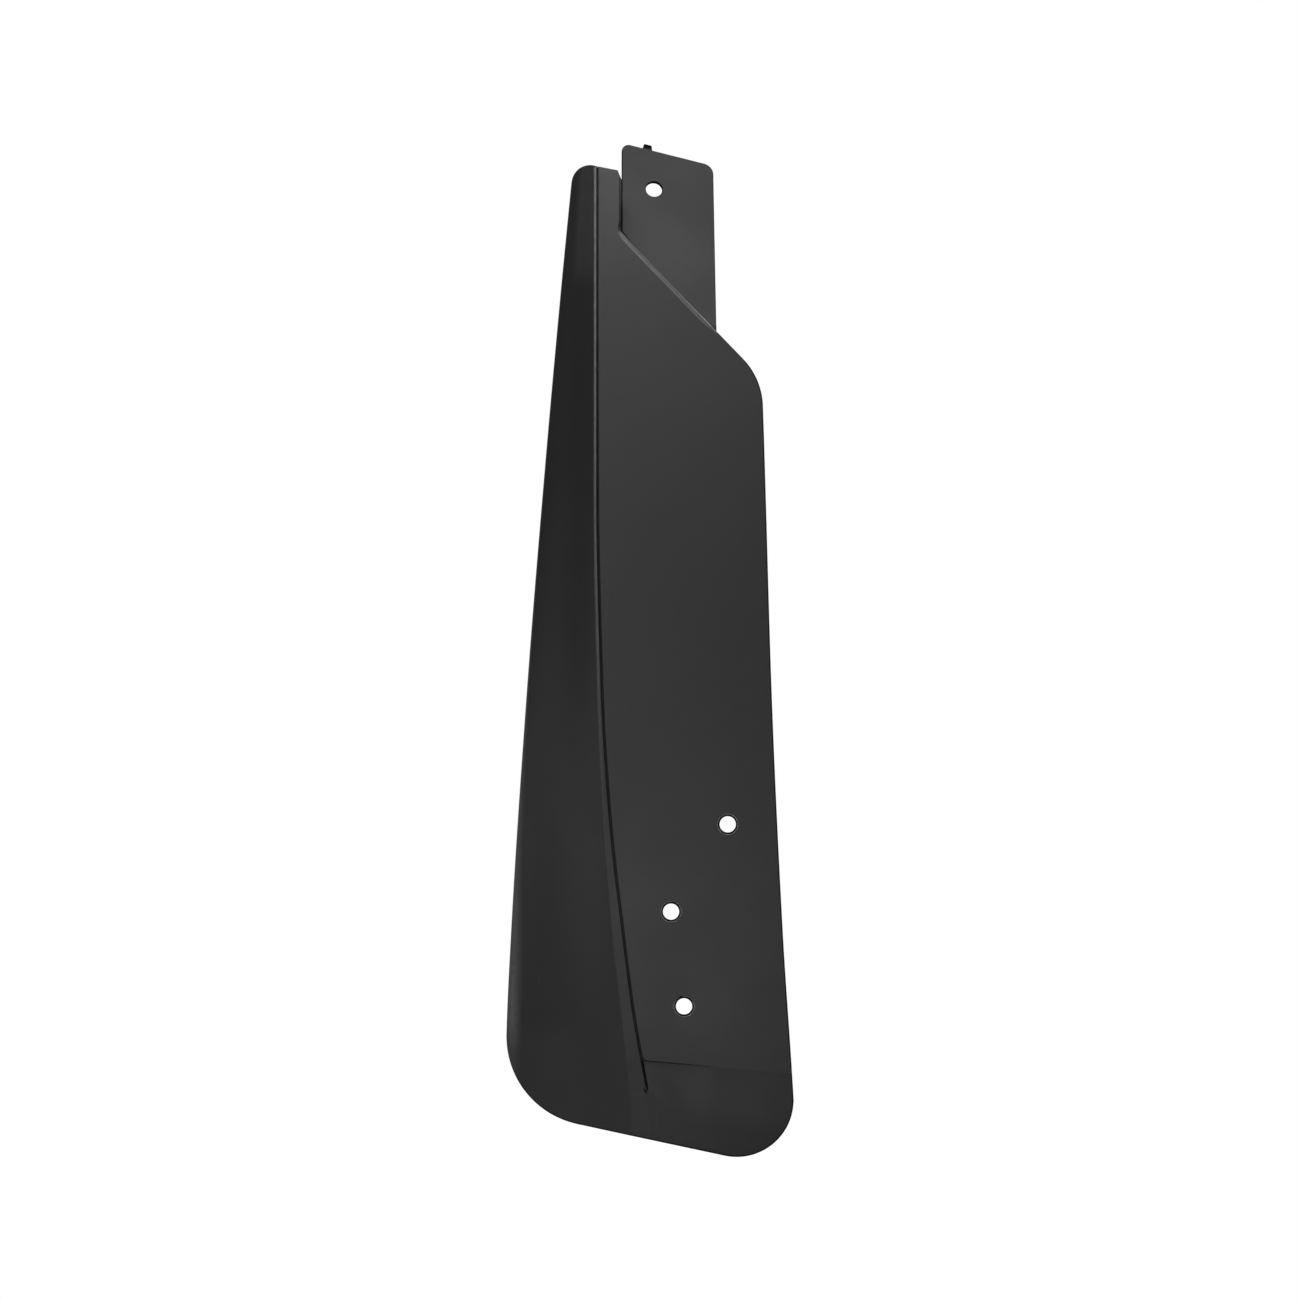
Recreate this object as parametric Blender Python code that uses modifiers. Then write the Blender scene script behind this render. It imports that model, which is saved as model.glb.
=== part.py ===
"""Mud flap for a truck or trailer fender, left hand, as an assembly of separate pieces.

Frame: X to the right, Y to the back, Z up. The origin is the middle of the three mounting
holes on the guard's back face, where the flap bears on the vehicle.
The pieces are drawn in millimetres from another point, which the empty "flap_frame" holds:
the plate's front face is the plane y = 0, x = 0 is the middle of the width, and z = 0 is the
lowest point. Every mesh is scaled to metres when it is made.
"""

import math

import bmesh
import bpy
from mathutils import Matrix, Vector

MM = 0.001

# Layers, from the front (small y) to the back
PLATE_THICK = 2.5
GAP = 0.3
GUARD_THICK = 2.5
SHEET_FRONT = PLATE_THICK + GAP
SHEET_BACK = SHEET_FRONT + GUARD_THICK
BRACKET_FRONT = SHEET_BACK + GAP
BRACKET_THICK = 2.2

# Straight edges of the front view, each as z at x = 0 and its fall to the right
TOP_EDGE = (482.7, -0.20)
STEP_EDGE = (47.2, -0.0886)
BOTTOM_EDGE = (8.5, -0.213)

# Curved lines of the front view: (height z, x), joined smoothly
LEFT_EDGE = ((-8, -72.0), (58, -70.9), (110, -68.5), (228, -60.8), (344, -51.4), (429, -43.7), (496, -37.1))
RIGHT_EDGE = ((-10, 73.4), (41, 70.0), (111, 65.4), (227, 60.0), (330, 56.9), (390, 55.1))
SEAM = ((-8, 5.0), (32, -1.1), (70, -7.9), (110, -13.1), (170, -19.8), (230, -23.5), (330, -25.7), (496, -25.7))
CREST = ((-8, -7.4), (32, -9.9), (48, -11.6), (70, -13.9), (110, -18.5), (170, -23.1), (230, -25.7),
         (330, -27.4), (496, -27.4))
SEAM_HALF_GAP = 0.4

# The guard's wing: how far its rim stands forward, how steeply it folds back, its rolled edge
RIM_FRONT = ((-8, -1.0), (32, -1.1), (60, -1.5), (110, -1.2), (200, -0.6), (300, -0.3), (496, -0.3))
WING_FOLD_DEG = ((-8, 23), (56, 24), (80, 28), (140, 37), (200, 44), (300, 52), (400, 57), (496, 60))
EDGE_RADIUS = ((-8, 14), (70, 14), (120, 12), (200, 8), (300, 5), (400, 3.6), (496, 3.2))
EDGE_ROLL_DEG = ((-8, 90), (52, 90), (80, 115), (462, 115), (486, 90), (496, 90))
FLANGE_LENGTH = ((-8, 0.5), (52, 0.5), (84, 8), (458, 8), (486, 1.5), (496, 1.5))
WING_CORNER_TOP = 9.0
WING_CORNER_BOTTOM = 44.0
LIP_CORNER = 28.0

# The lip below the plate: sunk at the seam, level with the plate further right, forward below
LIP_SUNK = 1.5
LIP_LEVEL_FROM = 12.0
LIP_LEVEL_AT = 32.5
LIP_FORWARD = -1.0
LIP_RISE = 18.0

# The plate: a narrow strip beside the bracket, then a diagonal shoulder, then the wide panel
STRIP_CORNER = (-15.9, 485.9)
STRIP_CHAMFER_END = (-14.7, 482.9)
SHOULDER_START = (-14.9, 455.9)
SHOULDER_END = (55.2, 383.4)
SHOULDER_RADIUS = 35.0
SHOULDER_FLANGE_END = 0.655
PLATE_CORNER = 2.0
PLATE_RIGHT_MARGIN = 0.8
FLANGE_WALL = 2.0
FLANGE_INSET = 0.5
FLANGE_DRAFT = 0.09
FLANGE_CLEARANCE = 2.1
SHEET_INSET = 3.0

# The bracket: a flat leaf behind the guard and a leaf that leans back above the bend line
BEND_START = (-14.2, 419.4)
BEND_END = (32.5, 407.7)
LEAN_DEG = 27.5
BEND_RADIUS = 4.0
TAB_LEFT_X = -13.8
TAB_RIGHT_X = ((350, 33.8), (407, 32.8), (446, 32.0), (486, 31.2))
TAB_RISE = 87.9
LEAF_DROP = 62.0
TAB_CORNER_LEFT = 3.4
TAB_CORNER_RIGHT = 6.0
LUG_X = (-2.6, 1.1)
LUG_RISE = 2.8
LUG_THICK = 1.6

# Holes and fixings
MOUNT_HOLES = {"upper": (38.3, 163.8), "middle": (10.4, 120.8), "lower": (16.8, 74.2)}
MOUNT_HOLE_RADIUS = 4.0
SLEEVE_RADIUS = 5.0
TAB_HOLE_AT = (2.05, 476.9)
TAB_HOLE_RADIUS = 4.1
LEFT_SCREW_HEIGHTS = (425, 290, 160)
RIGHT_SCREW_HEIGHTS = (350, 230, 100)
SCREW_EDGE_MARGIN = 11.0
LOW_SCREW = (3.0, 59.0)
BRACKET_SCREWS = ((-2.0, 384.0), (23.0, 378.0))
BOSS_RADIUS = 4.0
PILOT_RADIUS = 2.0
PILOT_FRONT = 1.0
SCREW_RADIUS = 1.7
SCREW_HEAD_RADIUS = 3.9
SCREW_HEAD_HEIGHT = 2.4
SOCKET_DEPTH = 1.2
SOCKET_RADIUS = 1.6
WASHER_RADIUS = 5.0
WASHER_HOLE = 2.2
WASHER_THICK = 1.0
SEAL_FROM = 92.0
SEAL_TO = 452.0
SEAL_WALL = 1.2
SEAL_GRIP = 4.8

ROUND_SIDES = 18
SMALL_SIDES = 12
FAR = 60.0

# Drawing position of the frame's origin: the middle of the mounting holes, on the guard's back
ORIGIN_X = sum(x for x, z in MOUNT_HOLES.values()) / 3
ORIGIN_Z = sum(z for x, z in MOUNT_HOLES.values()) / 3


# ---------------------------------------------------------------- measuring helpers

def slope_at(stations, k):
    """Slope of the curve at a station: none at a flat spot or an end of one, so it never overshoots."""
    last = len(stations) - 1
    steps = []
    for first in (max(0, k - 1), min(k, last - 1)):
        (z0, v0), (z1, v1) = stations[first], stations[first + 1]
        steps.append((v1 - v0) / (z1 - z0))
    before, after = steps
    if before * after <= 0:
        return 0.0
    return 2 * before * after / (before + after)


def along(stations, z):
    """Value at height z of a smooth curve through (height, value) stations."""
    if z <= stations[0][0]:
        return stations[0][1]
    if z >= stations[-1][0]:
        return stations[-1][1]
    k = 0
    while stations[k + 1][0] < z:
        k += 1
    (z0, v0), (z1, v1) = stations[k], stations[k + 1]
    t = (z - z0) / (z1 - z0)
    leave = slope_at(stations, k) * (z1 - z0)
    arrive = slope_at(stations, k + 1) * (z1 - z0)
    return ((2 * t ** 3 - 3 * t ** 2 + 1) * v0 + (t ** 3 - 2 * t ** 2 + t) * leave
            + (3 * t ** 2 - 2 * t ** 3) * v1 + (t ** 3 - t ** 2) * arrive)


def smooth(t):
    """Ease from 0 to 1 as t goes from 0 to 1."""
    t = min(1.0, max(0.0, t))
    return t * t * (3 - 2 * t)


def mix(a, b, t):
    return a + (b - a) * t


def edge_z(edge, x):
    """Height of a straight edge of the front view at x."""
    return edge[0] + edge[1] * x


def fillet(corner, before, after, radius, steps=8):
    """Arc that rounds a corner of the front view, between the points before and after it."""
    corner = Vector(corner)
    back = (Vector(before) - corner).normalized()
    ahead = (Vector(after) - corner).normalized()
    half = back.angle(ahead) / 2
    reach = radius / math.tan(half)
    centre = corner + (back + ahead).normalized() * (radius / math.sin(half))
    start = corner + back * reach - centre
    end = corner + ahead * reach - centre
    turn = start.angle_signed(end)
    points = []
    for k in range(steps + 1):
        arm = start.copy()
        arm.rotate(Matrix.Rotation(-turn * k / steps, 2))
        points.append(tuple(centre + arm))
    return points


def heights(start, end, count):
    return [mix(start, end, k / count) for k in range(count + 1)]


# ---------------------------------------------------------------- making objects

def clear_scene():
    for obj in list(bpy.data.objects):
        bpy.data.objects.remove(obj, do_unlink=True)


def make_collection(name):
    collection = bpy.data.collections.new(name)
    bpy.context.scene.collection.children.link(collection)
    return collection


def make_material(name, colour, roughness, metallic=0.0):
    material = bpy.data.materials.new(name)
    material.use_nodes = True
    shader = material.node_tree.nodes["Principled BSDF"]
    shader.inputs["Base Color"].default_value = (*colour, 1.0)
    shader.inputs["Roughness"].default_value = roughness
    shader.inputs["Metallic"].default_value = metallic
    return material


def finish_object(bm, name, collection, material=None):
    """Scale a millimetre bmesh to metres and link it as an object."""
    bmesh.ops.scale(bm, vec=(MM, MM, MM), verts=bm.verts)
    bmesh.ops.recalc_face_normals(bm, faces=bm.faces)
    mesh = bpy.data.meshes.new(name)
    bm.to_mesh(mesh)
    bm.free()
    obj = bpy.data.objects.new(name, mesh)
    collection.objects.link(obj)
    if material:
        mesh.materials.append(material)
    return obj


def loft(sections):
    """Closed solid through closed sections that all have the same number of points."""
    bm = bmesh.new()
    rings = [[bm.verts.new(point) for point in section] for section in sections]
    for ring, next_ring in zip(rings, rings[1:]):
        for k in range(len(ring)):
            other = (k + 1) % len(ring)
            bm.faces.new((ring[k], ring[other], next_ring[other], next_ring[k]))
    bm.faces.new(rings[0])
    bm.faces.new(reversed(rings[-1]))
    return bm


def prism(outlines, y_front, y_back):
    """Front-view outlines, the first outside and the rest holes, as a flat solid mesh."""
    curve = bpy.data.curves.new("outline", "CURVE")
    curve.dimensions = "2D"
    curve.fill_mode = "BOTH"
    curve.extrude = (y_back - y_front) / 2
    for outline in outlines:
        spline = curve.splines.new("POLY")
        spline.points.add(len(outline) - 1)
        spline.use_cyclic_u = True
        for point, (x, z) in zip(spline.points, outline):
            point.co = (x, z, 0, 1)
    holder = bpy.data.objects.new("outline", curve)
    bpy.context.scene.collection.objects.link(holder)
    graph = bpy.context.evaluated_depsgraph_get()
    mesh = bpy.data.meshes.new_from_object(holder.evaluated_get(graph))
    bm = bmesh.new()
    bm.from_mesh(mesh)
    bmesh.ops.remove_doubles(bm, verts=bm.verts, dist=0.01)
    bpy.data.objects.remove(holder)
    stand_up = Matrix.Translation((0, (y_front + y_back) / 2, 0)) @ Matrix.Rotation(math.pi / 2, 4, "X")
    bmesh.ops.transform(bm, matrix=stand_up, verts=bm.verts)
    return bm


def cylinders(places, radius, y_front, y_back, sides=ROUND_SIDES):
    """Upright discs facing the front, one at each (x, z)."""
    bm = bmesh.new()
    for x, z in places:
        place = Matrix.Translation((x, (y_front + y_back) / 2, z)) @ Matrix.Rotation(math.pi / 2, 4, "X")
        bmesh.ops.create_cone(bm, cap_ends=True, segments=sides, radius1=radius, radius2=radius,
                              depth=y_back - y_front, matrix=place)
    return bm


def turned(name, profile, collection, material, sides=ROUND_SIDES, closed=False):
    """A shape turned about its own Z axis from (radius, height) points, listed top to bottom."""
    bm = bmesh.new()
    verts = [bm.verts.new((radius * MM, 0, height * MM)) for radius, height in profile]
    for first, second in zip(verts, verts[1:]):
        bm.edges.new((first, second))
    if closed:
        bm.edges.new((verts[-1], verts[0]))
    mesh = bpy.data.meshes.new(name)
    bm.to_mesh(mesh)
    bm.free()
    mesh.materials.append(material)
    obj = bpy.data.objects.new(name, mesh)
    collection.objects.link(obj)
    screw = obj.modifiers.new("turn", "SCREW")
    screw.axis = "Z"
    screw.steps = sides
    screw.render_steps = sides
    screw.use_merge_vertices = True
    screw.merge_threshold = 0.00001
    screw.use_smooth_shade = True
    return obj


def boolean(obj, tool, operation):
    modifier = obj.modifiers.new(tool.name, "BOOLEAN")
    modifier.operation = operation
    modifier.solver = "EXACT"
    modifier.object = tool
    tool.hide_render = True
    tool.display_type = "WIRE"


def face_back(obj, x, y, z):
    """Stand a turned object on its place, with its own +Z pointing to the back."""
    obj.location = (x * MM, y * MM, z * MM)
    obj.rotation_euler = (-math.pi / 2, 0, 0)


# ---------------------------------------------------------------- outlines

def right_edge_points(z_from, z_to, inset, count=10):
    return [(along(RIGHT_EDGE, z) - inset, z) for z in heights(z_from, z_to, count)]


def seam_points(z_from, z_to, shift, count=14):
    return [(along(SEAM, z) + shift, z) for z in heights(z_from, z_to, count)]


def shoulder_line(inset):
    """The diagonal shoulder's two ends, moved inwards from the plate's edge."""
    start, end = Vector(SHOULDER_START), Vector(SHOULDER_END)
    inwards = Vector((end.y - start.y, start.x - end.x)).normalized()
    return start + inwards * inset, end + inwards * inset


def shoulder_outline(inset):
    """Strip side, shoulder and its rounded outer corner, from the strip's foot down."""
    start, end = shoulder_line(inset)
    foot_x = SHOULDER_START[0] - inset
    slope = (end.y - start.y) / (end.x - start.x)
    foot = (foot_x, start.y + slope * (foot_x - start.x))
    corner = (end.x, end.y)
    below = (along(RIGHT_EDGE, 340) - inset, 340)
    return [foot] + fillet(corner, foot, below, SHOULDER_RADIUS - inset)


def plate_outline():
    left_top_x = SEAM[-1][1] + SEAM_HALF_GAP
    outline = [(left_top_x, edge_z(TOP_EDGE, left_top_x)), STRIP_CORNER, STRIP_CHAMFER_END]
    outline += shoulder_outline(0.0)
    right_x = along(RIGHT_EDGE, 41.0)
    outline += right_edge_points(355, edge_z(STEP_EDGE, right_x), 0.0)
    foot_x = along(SEAM, STEP_EDGE[0]) + SEAM_HALF_GAP
    foot = (foot_x, edge_z(STEP_EDGE, foot_x))
    beside = (foot_x + 20, edge_z(STEP_EDGE, foot_x + 20))
    above = (along(SEAM, 60) + SEAM_HALF_GAP, 60)
    outline += fillet(foot, beside, above, PLATE_CORNER, 4)
    outline += seam_points(60, 470, SEAM_HALF_GAP)
    return outline


def pocket_outline():
    """Recess of the guard that the plate lies in, open to the right and to the top."""
    right_x = 85.0
    foot_x = along(SEAM, STEP_EDGE[0]) - SEAM_HALF_GAP
    outline = [(SEAM[-1][1] - SEAM_HALF_GAP, 500), (right_x, 500)]
    outline.append((right_x, edge_z(STEP_EDGE, right_x) - GAP))
    outline.append((foot_x, edge_z(STEP_EDGE, foot_x) - GAP))
    outline += seam_points(60, 470, -SEAM_HALF_GAP)
    return outline


def guard_outline():
    """Front outline of the guard; its left side stays clear of the rolled edge."""
    clear_x = -90.0
    top_left = (along(LEFT_EDGE, 490), edge_z(TOP_EDGE, along(LEFT_EDGE, 490)))
    below_top = (along(LEFT_EDGE, 450), 450)
    top_right = (SHOULDER_START[0] - SHEET_INSET, edge_z(TOP_EDGE, SHOULDER_START[0] - SHEET_INSET) - 1.0)
    rim_x = SEAM[-1][1] - SEAM_HALF_GAP
    top_arc = fillet(top_left, below_top, (rim_x, edge_z(TOP_EDGE, rim_x)), WING_CORNER_TOP)
    outline = [(clear_x, top_arc[0][1])] + top_arc
    outline += [(rim_x, edge_z(TOP_EDGE, rim_x)), (rim_x + 0.2, top_right[1]), top_right]
    outline += shoulder_outline(SHEET_INSET)
    step_x = along(RIGHT_EDGE, 41.0)
    step_z = edge_z(STEP_EDGE, step_x) - GAP
    outline += right_edge_points(350, step_z + 2.0, PLATE_RIGHT_MARGIN)
    outline += [(step_x - PLATE_RIGHT_MARGIN, step_z), (step_x, step_z)]
    low_right = (73.3, edge_z(BOTTOM_EDGE, 73.3))
    outline += fillet(low_right, (step_x, step_z), (0, BOTTOM_EDGE[0]), LIP_CORNER, 10)
    low_left_x = along(LEFT_EDGE, 20)
    low_left = (low_left_x, edge_z(BOTTOM_EDGE, low_left_x))
    low_arc = fillet(low_left, (0, BOTTOM_EDGE[0]), (along(LEFT_EDGE, 60), 60), WING_CORNER_BOTTOM, 12)
    outline += low_arc + [(clear_x, low_arc[-1][1])]
    return outline


# ---------------------------------------------------------------- the guard's section

def lip_front(x, z):
    """Front surface of the guard right of the seam, below the plate."""
    below = edge_z(STEP_EDGE, x) - z
    level = smooth((x - LIP_LEVEL_FROM) / (LIP_LEVEL_AT - LIP_LEVEL_FROM))
    at_step = mix(LIP_SUNK, 0.0, level)
    return mix(at_step, LIP_FORWARD, smooth(below / LIP_RISE))


def lip_back(x, z):
    below = edge_z(STEP_EDGE, x) - z
    return mix(SHEET_BACK, lip_front(x, z) + GUARD_THICK, smooth(below / LIP_RISE))


def wing_lines(z):
    """Named points of the wing's section at height z, as (x, y) pairs."""
    fold = math.radians(along(WING_FOLD_DEG, z))
    radius = along(EDGE_RADIUS, z)
    roll = math.radians(along(EDGE_ROLL_DEG, z))
    crest = Vector((along(CREST, z), along(RIM_FRONT, z)))
    edge_x = along(LEFT_EDGE, z)
    roll_x = edge_x + radius * (1 - math.sin(fold))
    roll_start = Vector((roll_x, crest.y + (crest.x - roll_x) * math.tan(fold)))
    inwards = Vector((math.sin(fold), math.cos(fold)))
    centre = roll_start + inwards * radius
    end_arm = Vector((-math.sin(roll), -math.cos(roll)))
    roll_end = centre + end_arm * radius
    run = Vector((-math.cos(roll), math.sin(roll)))
    return {"fold": fold, "radius": radius, "roll": roll, "crest": crest, "roll_start": roll_start,
            "inwards": inwards, "centre": centre, "roll_end": roll_end, "run": run,
            "across": -end_arm, "flange": along(FLANGE_LENGTH, z)}


def guard_section(z, wing_steps=4, roll_steps=5):
    """One closed section of the guard before it is trimmed: front from right to left, then back."""
    lines = wing_lines(z)
    seam_x = along(SEAM, z) - SEAM_HALF_GAP
    right_x = 80.0
    back_y = lip_back(seam_x, z)
    front = []
    back = []
    for t in heights(0.0, 1.0, 6):
        x = mix(right_x, seam_x + 0.2, t)
        front.append((x, lip_front(x, z)))
        back.append((mix(right_x, seam_x + 1.0, t), lip_back(x, z)))
    crest = lines["crest"]
    fold = lines["fold"]
    front.append((seam_x, crest.y))
    back.append((seam_x - 0.3, back_y))
    corner_x = crest.x + (GUARD_THICK - math.cos(fold) * (back_y - crest.y)) / math.sin(fold)
    back_start = Vector((corner_x, back_y))
    back_end = lines["roll_start"] + lines["inwards"] * GUARD_THICK
    for t in heights(0.0, 1.0, wing_steps):
        front.append(tuple(crest.lerp(lines["roll_start"], t)))
        back.append(tuple(back_start.lerp(back_end, t)))
    for angle in heights(fold, lines["roll"], roll_steps)[1:]:
        arm = Vector((-math.sin(angle), -math.cos(angle)))
        front.append(tuple(lines["centre"] + arm * lines["radius"]))
        back.append(tuple(lines["centre"] + arm * (lines["radius"] - GUARD_THICK)))
    flange = lines["run"] * lines["flange"]
    front.append(tuple(lines["roll_end"] + flange))
    back.append(tuple(lines["roll_end"] + flange + lines["across"] * GUARD_THICK))
    return [(x, y, z) for x, y in front + back[::-1]]


def make_guard(parts, cutters, material):
    levels = [-12] + heights(0, 46, 7) + heights(52, 82, 3) + heights(100, 460, 15) + [478, 496]
    guard = finish_object(loft([guard_section(z) for z in levels]), "outer_guard", parts, material)
    outline = finish_object(prism([guard_outline()], -FAR, FAR + 20), "guard_outline_cutter", cutters)
    boolean(guard, outline, "INTERSECT")
    pocket = finish_object(prism([pocket_outline()], -20, SHEET_FRONT), "pocket_cutter", cutters)
    boolean(guard, pocket, "DIFFERENCE")
    sleeve_cut = cylinders(MOUNT_HOLES.values(), SLEEVE_RADIUS + GAP, -5, 15)
    boolean(guard, finish_object(sleeve_cut, "guard_sleeve_holes", cutters), "DIFFERENCE")
    boss_cut = cylinders(plate_screws() + list(BRACKET_SCREWS), BOSS_RADIUS + GAP, -5, 15, SMALL_SIDES)
    boolean(guard, finish_object(boss_cut, "guard_boss_holes", cutters), "DIFFERENCE")
    return guard


# ---------------------------------------------------------------- plate

def plate_screws():
    """Where the plate's bosses stand, along its two long edges and at its foot."""
    places = [(along(SEAM, z) + SCREW_EDGE_MARGIN - 4.0, z) for z in LEFT_SCREW_HEIGHTS]
    places += [(along(RIGHT_EDGE, z) - SCREW_EDGE_MARGIN, z) for z in RIGHT_SCREW_HEIGHTS]
    places.append(LOW_SCREW)
    return places


def tab_depth(x, z):
    """Depth of the leaning leaf's front face behind a point of the front view."""
    start, end = Vector(BEND_START), Vector(BEND_END)
    uphill = Vector((start.y - end.y, end.x - start.x)).normalized()
    rise = (Vector((x, z)) - start).dot(uphill)
    return BRACKET_FRONT + max(0.0, rise) * math.tan(math.radians(LEAN_DEG))


def flange_section(edge, outwards, depth):
    """Section of the turned-back flange at one point of the plate's edge."""
    root = 1.2
    lean = FLANGE_DRAFT * (depth - PLATE_THICK)
    outer_root = edge - outwards * FLANGE_INSET
    outer_end = edge + outwards * (lean - FLANGE_INSET)
    inner_root = edge - outwards * (FLANGE_INSET + FLANGE_WALL)
    inner_end = edge + outwards * (lean - FLANGE_INSET - FLANGE_WALL)
    return [(outer_root.x, root, outer_root.y), (outer_root.x, PLATE_THICK, outer_root.y),
            (outer_end.x, depth, outer_end.y), (inner_end.x, depth, inner_end.y),
            (inner_root.x, PLATE_THICK, inner_root.y), (inner_root.x, root, inner_root.y)]


def plate_flange():
    """Wall turned back from the strip's side and the shoulder, ending just before the bracket."""
    top = Vector((STRIP_CHAMFER_END[0], STRIP_CHAMFER_END[1] - 1.0))
    corner, shoulder_end = shoulder_line(0.0)
    along_shoulder = (shoulder_end - corner).normalized()
    to_right = Vector((1, 0))
    off_shoulder = Vector((-along_shoulder.y, along_shoulder.x))
    mitre = (to_right + off_shoulder) / (1 + to_right.dot(off_shoulder))
    end = corner.lerp(shoulder_end, SHOULDER_FLANGE_END)
    corner_depth = tab_depth(corner.x, corner.y) - FLANGE_CLEARANCE
    end_depth = tab_depth(end.x, end.y) - FLANGE_CLEARANCE
    return loft([flange_section(top, to_right, corner_depth),
                 flange_section(corner, mitre, corner_depth),
                 flange_section(end, off_shoulder, end_depth)])


def make_plate(parts, cutters, material):
    bm = prism([plate_outline()], 0.0, PLATE_THICK)
    plate = finish_object(bm, "mounting_plate", parts, material)
    boolean(plate, finish_object(plate_flange(), "plate_flange", cutters), "UNION")
    screws = plate_screws() + list(BRACKET_SCREWS)
    bosses = cylinders(screws, BOSS_RADIUS, PLATE_THICK - 0.5, SHEET_BACK, SMALL_SIDES)
    boolean(plate, finish_object(bosses, "plate_bosses", cutters), "UNION")
    pilots = cylinders(screws, PILOT_RADIUS, PILOT_FRONT, SHEET_BACK + 5, SMALL_SIDES)
    boolean(plate, finish_object(pilots, "plate_pilot_holes", cutters), "DIFFERENCE")
    holes = cylinders(MOUNT_HOLES.values(), SLEEVE_RADIUS + GAP, -5, 15)
    boolean(plate, finish_object(holes, "plate_sleeve_holes", cutters), "DIFFERENCE")
    return plate


# ---------------------------------------------------------------- bracket

class BracketFrame:
    """Directions of the bent bracket: along its bend, up the view and up the leaning leaf."""

    def __init__(self):
        start = Vector((BEND_START[0], 0, BEND_START[1]))
        end = Vector((BEND_END[0], 0, BEND_END[1]))
        self.origin = start + Vector((0, BRACKET_FRONT, 0))
        self.bend = (end - start).normalized()
        self.up = Vector((-self.bend.z, 0, self.bend.x))
        self.back = Vector((0, 1, 0))

    def station(self, rise):
        """Point on the front face and its backward normal, at a distance past the bend."""
        lean = math.radians(LEAN_DEG)
        arc = BEND_RADIUS * lean
        turn = min(max(rise / arc, 0.0), 1.0) * lean
        point = self.origin + self.up * min(rise, 0.0)
        point += self.up * (BEND_RADIUS * math.sin(turn)) + self.back * (BEND_RADIUS * (1 - math.cos(turn)))
        tangent = self.up * math.cos(turn) + self.back * math.sin(turn)
        normal = self.back * math.cos(turn) - self.up * math.sin(turn)
        point += tangent * max(rise - arc, 0.0)
        return point, normal

    def row(self, rise, trim_left=0.0, trim_right=0.0):
        """Rectangle across the bracket at one station, from its left edge to its right edge."""
        point, normal = self.station(rise)
        left = point + self.bend * ((TAB_LEFT_X + trim_left - point.x) / self.bend.x)
        right_x = along(TAB_RIGHT_X, point.z - 10)
        right = point + self.bend * ((right_x - trim_right - point.x) / self.bend.x)
        thick = normal * BRACKET_THICK
        return [left, right, right + thick, left + thick]


def corner_trims(radius, steps=5):
    """How far a rounded corner is behind the end of the leaf, and how far it cuts in."""
    trims = []
    for k in range(steps + 1):
        angle = math.pi / 2 * k / steps
        trims.append((radius * (1 - math.sin(angle)), radius * (1 - math.cos(angle))))
    return trims


def make_bracket(parts, cutters, material):
    frame = BracketFrame()
    foot_round = 6.0
    rows = []
    for behind, cut in reversed(corner_trims(foot_round)):
        rows.append(frame.row(-LEAF_DROP + behind, cut, cut))
    rows.append(frame.row(-20.0))
    arc = BEND_RADIUS * math.radians(LEAN_DEG)
    rows += [frame.row(rise) for rise in heights(0.0, arc, 4)]
    rows.append(frame.row(45.0))
    left_scale = TAB_CORNER_LEFT / TAB_CORNER_RIGHT
    for behind, cut in corner_trims(TAB_CORNER_RIGHT):
        rows.append(frame.row(TAB_RISE - behind, cut * left_scale, cut))
    bracket = finish_object(loft(rows), "upper_bracket", parts, material)

    lug = finish_object(bracket_lug(frame), "bracket_lug", cutters)
    boolean(bracket, lug, "UNION")
    normal = frame.station(TAB_RISE)[1]
    hole = Vector((TAB_HOLE_AT[0], tab_depth(*TAB_HOLE_AT), TAB_HOLE_AT[1]))
    drill = bmesh.new()
    turn = normal.to_track_quat("Z", "Y").to_matrix().to_4x4()
    bmesh.ops.create_cone(drill, cap_ends=True, segments=ROUND_SIDES, radius1=TAB_HOLE_RADIUS,
                          radius2=TAB_HOLE_RADIUS, depth=20, matrix=Matrix.Translation(hole) @ turn)
    boolean(bracket, finish_object(drill, "tab_hole_cutter", cutters), "DIFFERENCE")
    screw_holes = cylinders(BRACKET_SCREWS, WASHER_HOLE, BRACKET_FRONT - 5, BRACKET_FRONT + 10,
                            SMALL_SIDES)
    boolean(bracket, finish_object(screw_holes, "bracket_screw_holes", cutters), "DIFFERENCE")
    return bracket


def bracket_lug(frame):
    """Small locating lug that stands up behind the top edge, slanted on its left side."""
    rows = []
    for rise, left_x in ((TAB_RISE - 3.0, LUG_X[0] - 2.0), (TAB_RISE + LUG_RISE, LUG_X[0])):
        point, normal = frame.station(rise)
        left = point + frame.bend * ((left_x - point.x) / frame.bend.x)
        right = point + frame.bend * ((LUG_X[1] - point.x) / frame.bend.x)
        front = normal * 0.3
        back = normal * (0.3 + LUG_THICK)
        rows.append([left + front, right + front, right + back, left + back])
    return loft(rows)


# ---------------------------------------------------------------- sleeves, fixings and seal

def make_sleeve(name, place, parts, material):
    length = SHEET_BACK
    profile = [(SLEEVE_RADIUS, length), (SLEEVE_RADIUS, 0.0), (MOUNT_HOLE_RADIUS, 0.0),
               (MOUNT_HOLE_RADIUS, length)]
    sleeve = turned(name, profile, parts, material, 24, closed=True)
    face_back(sleeve, place[0], 0.0, place[1])


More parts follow.
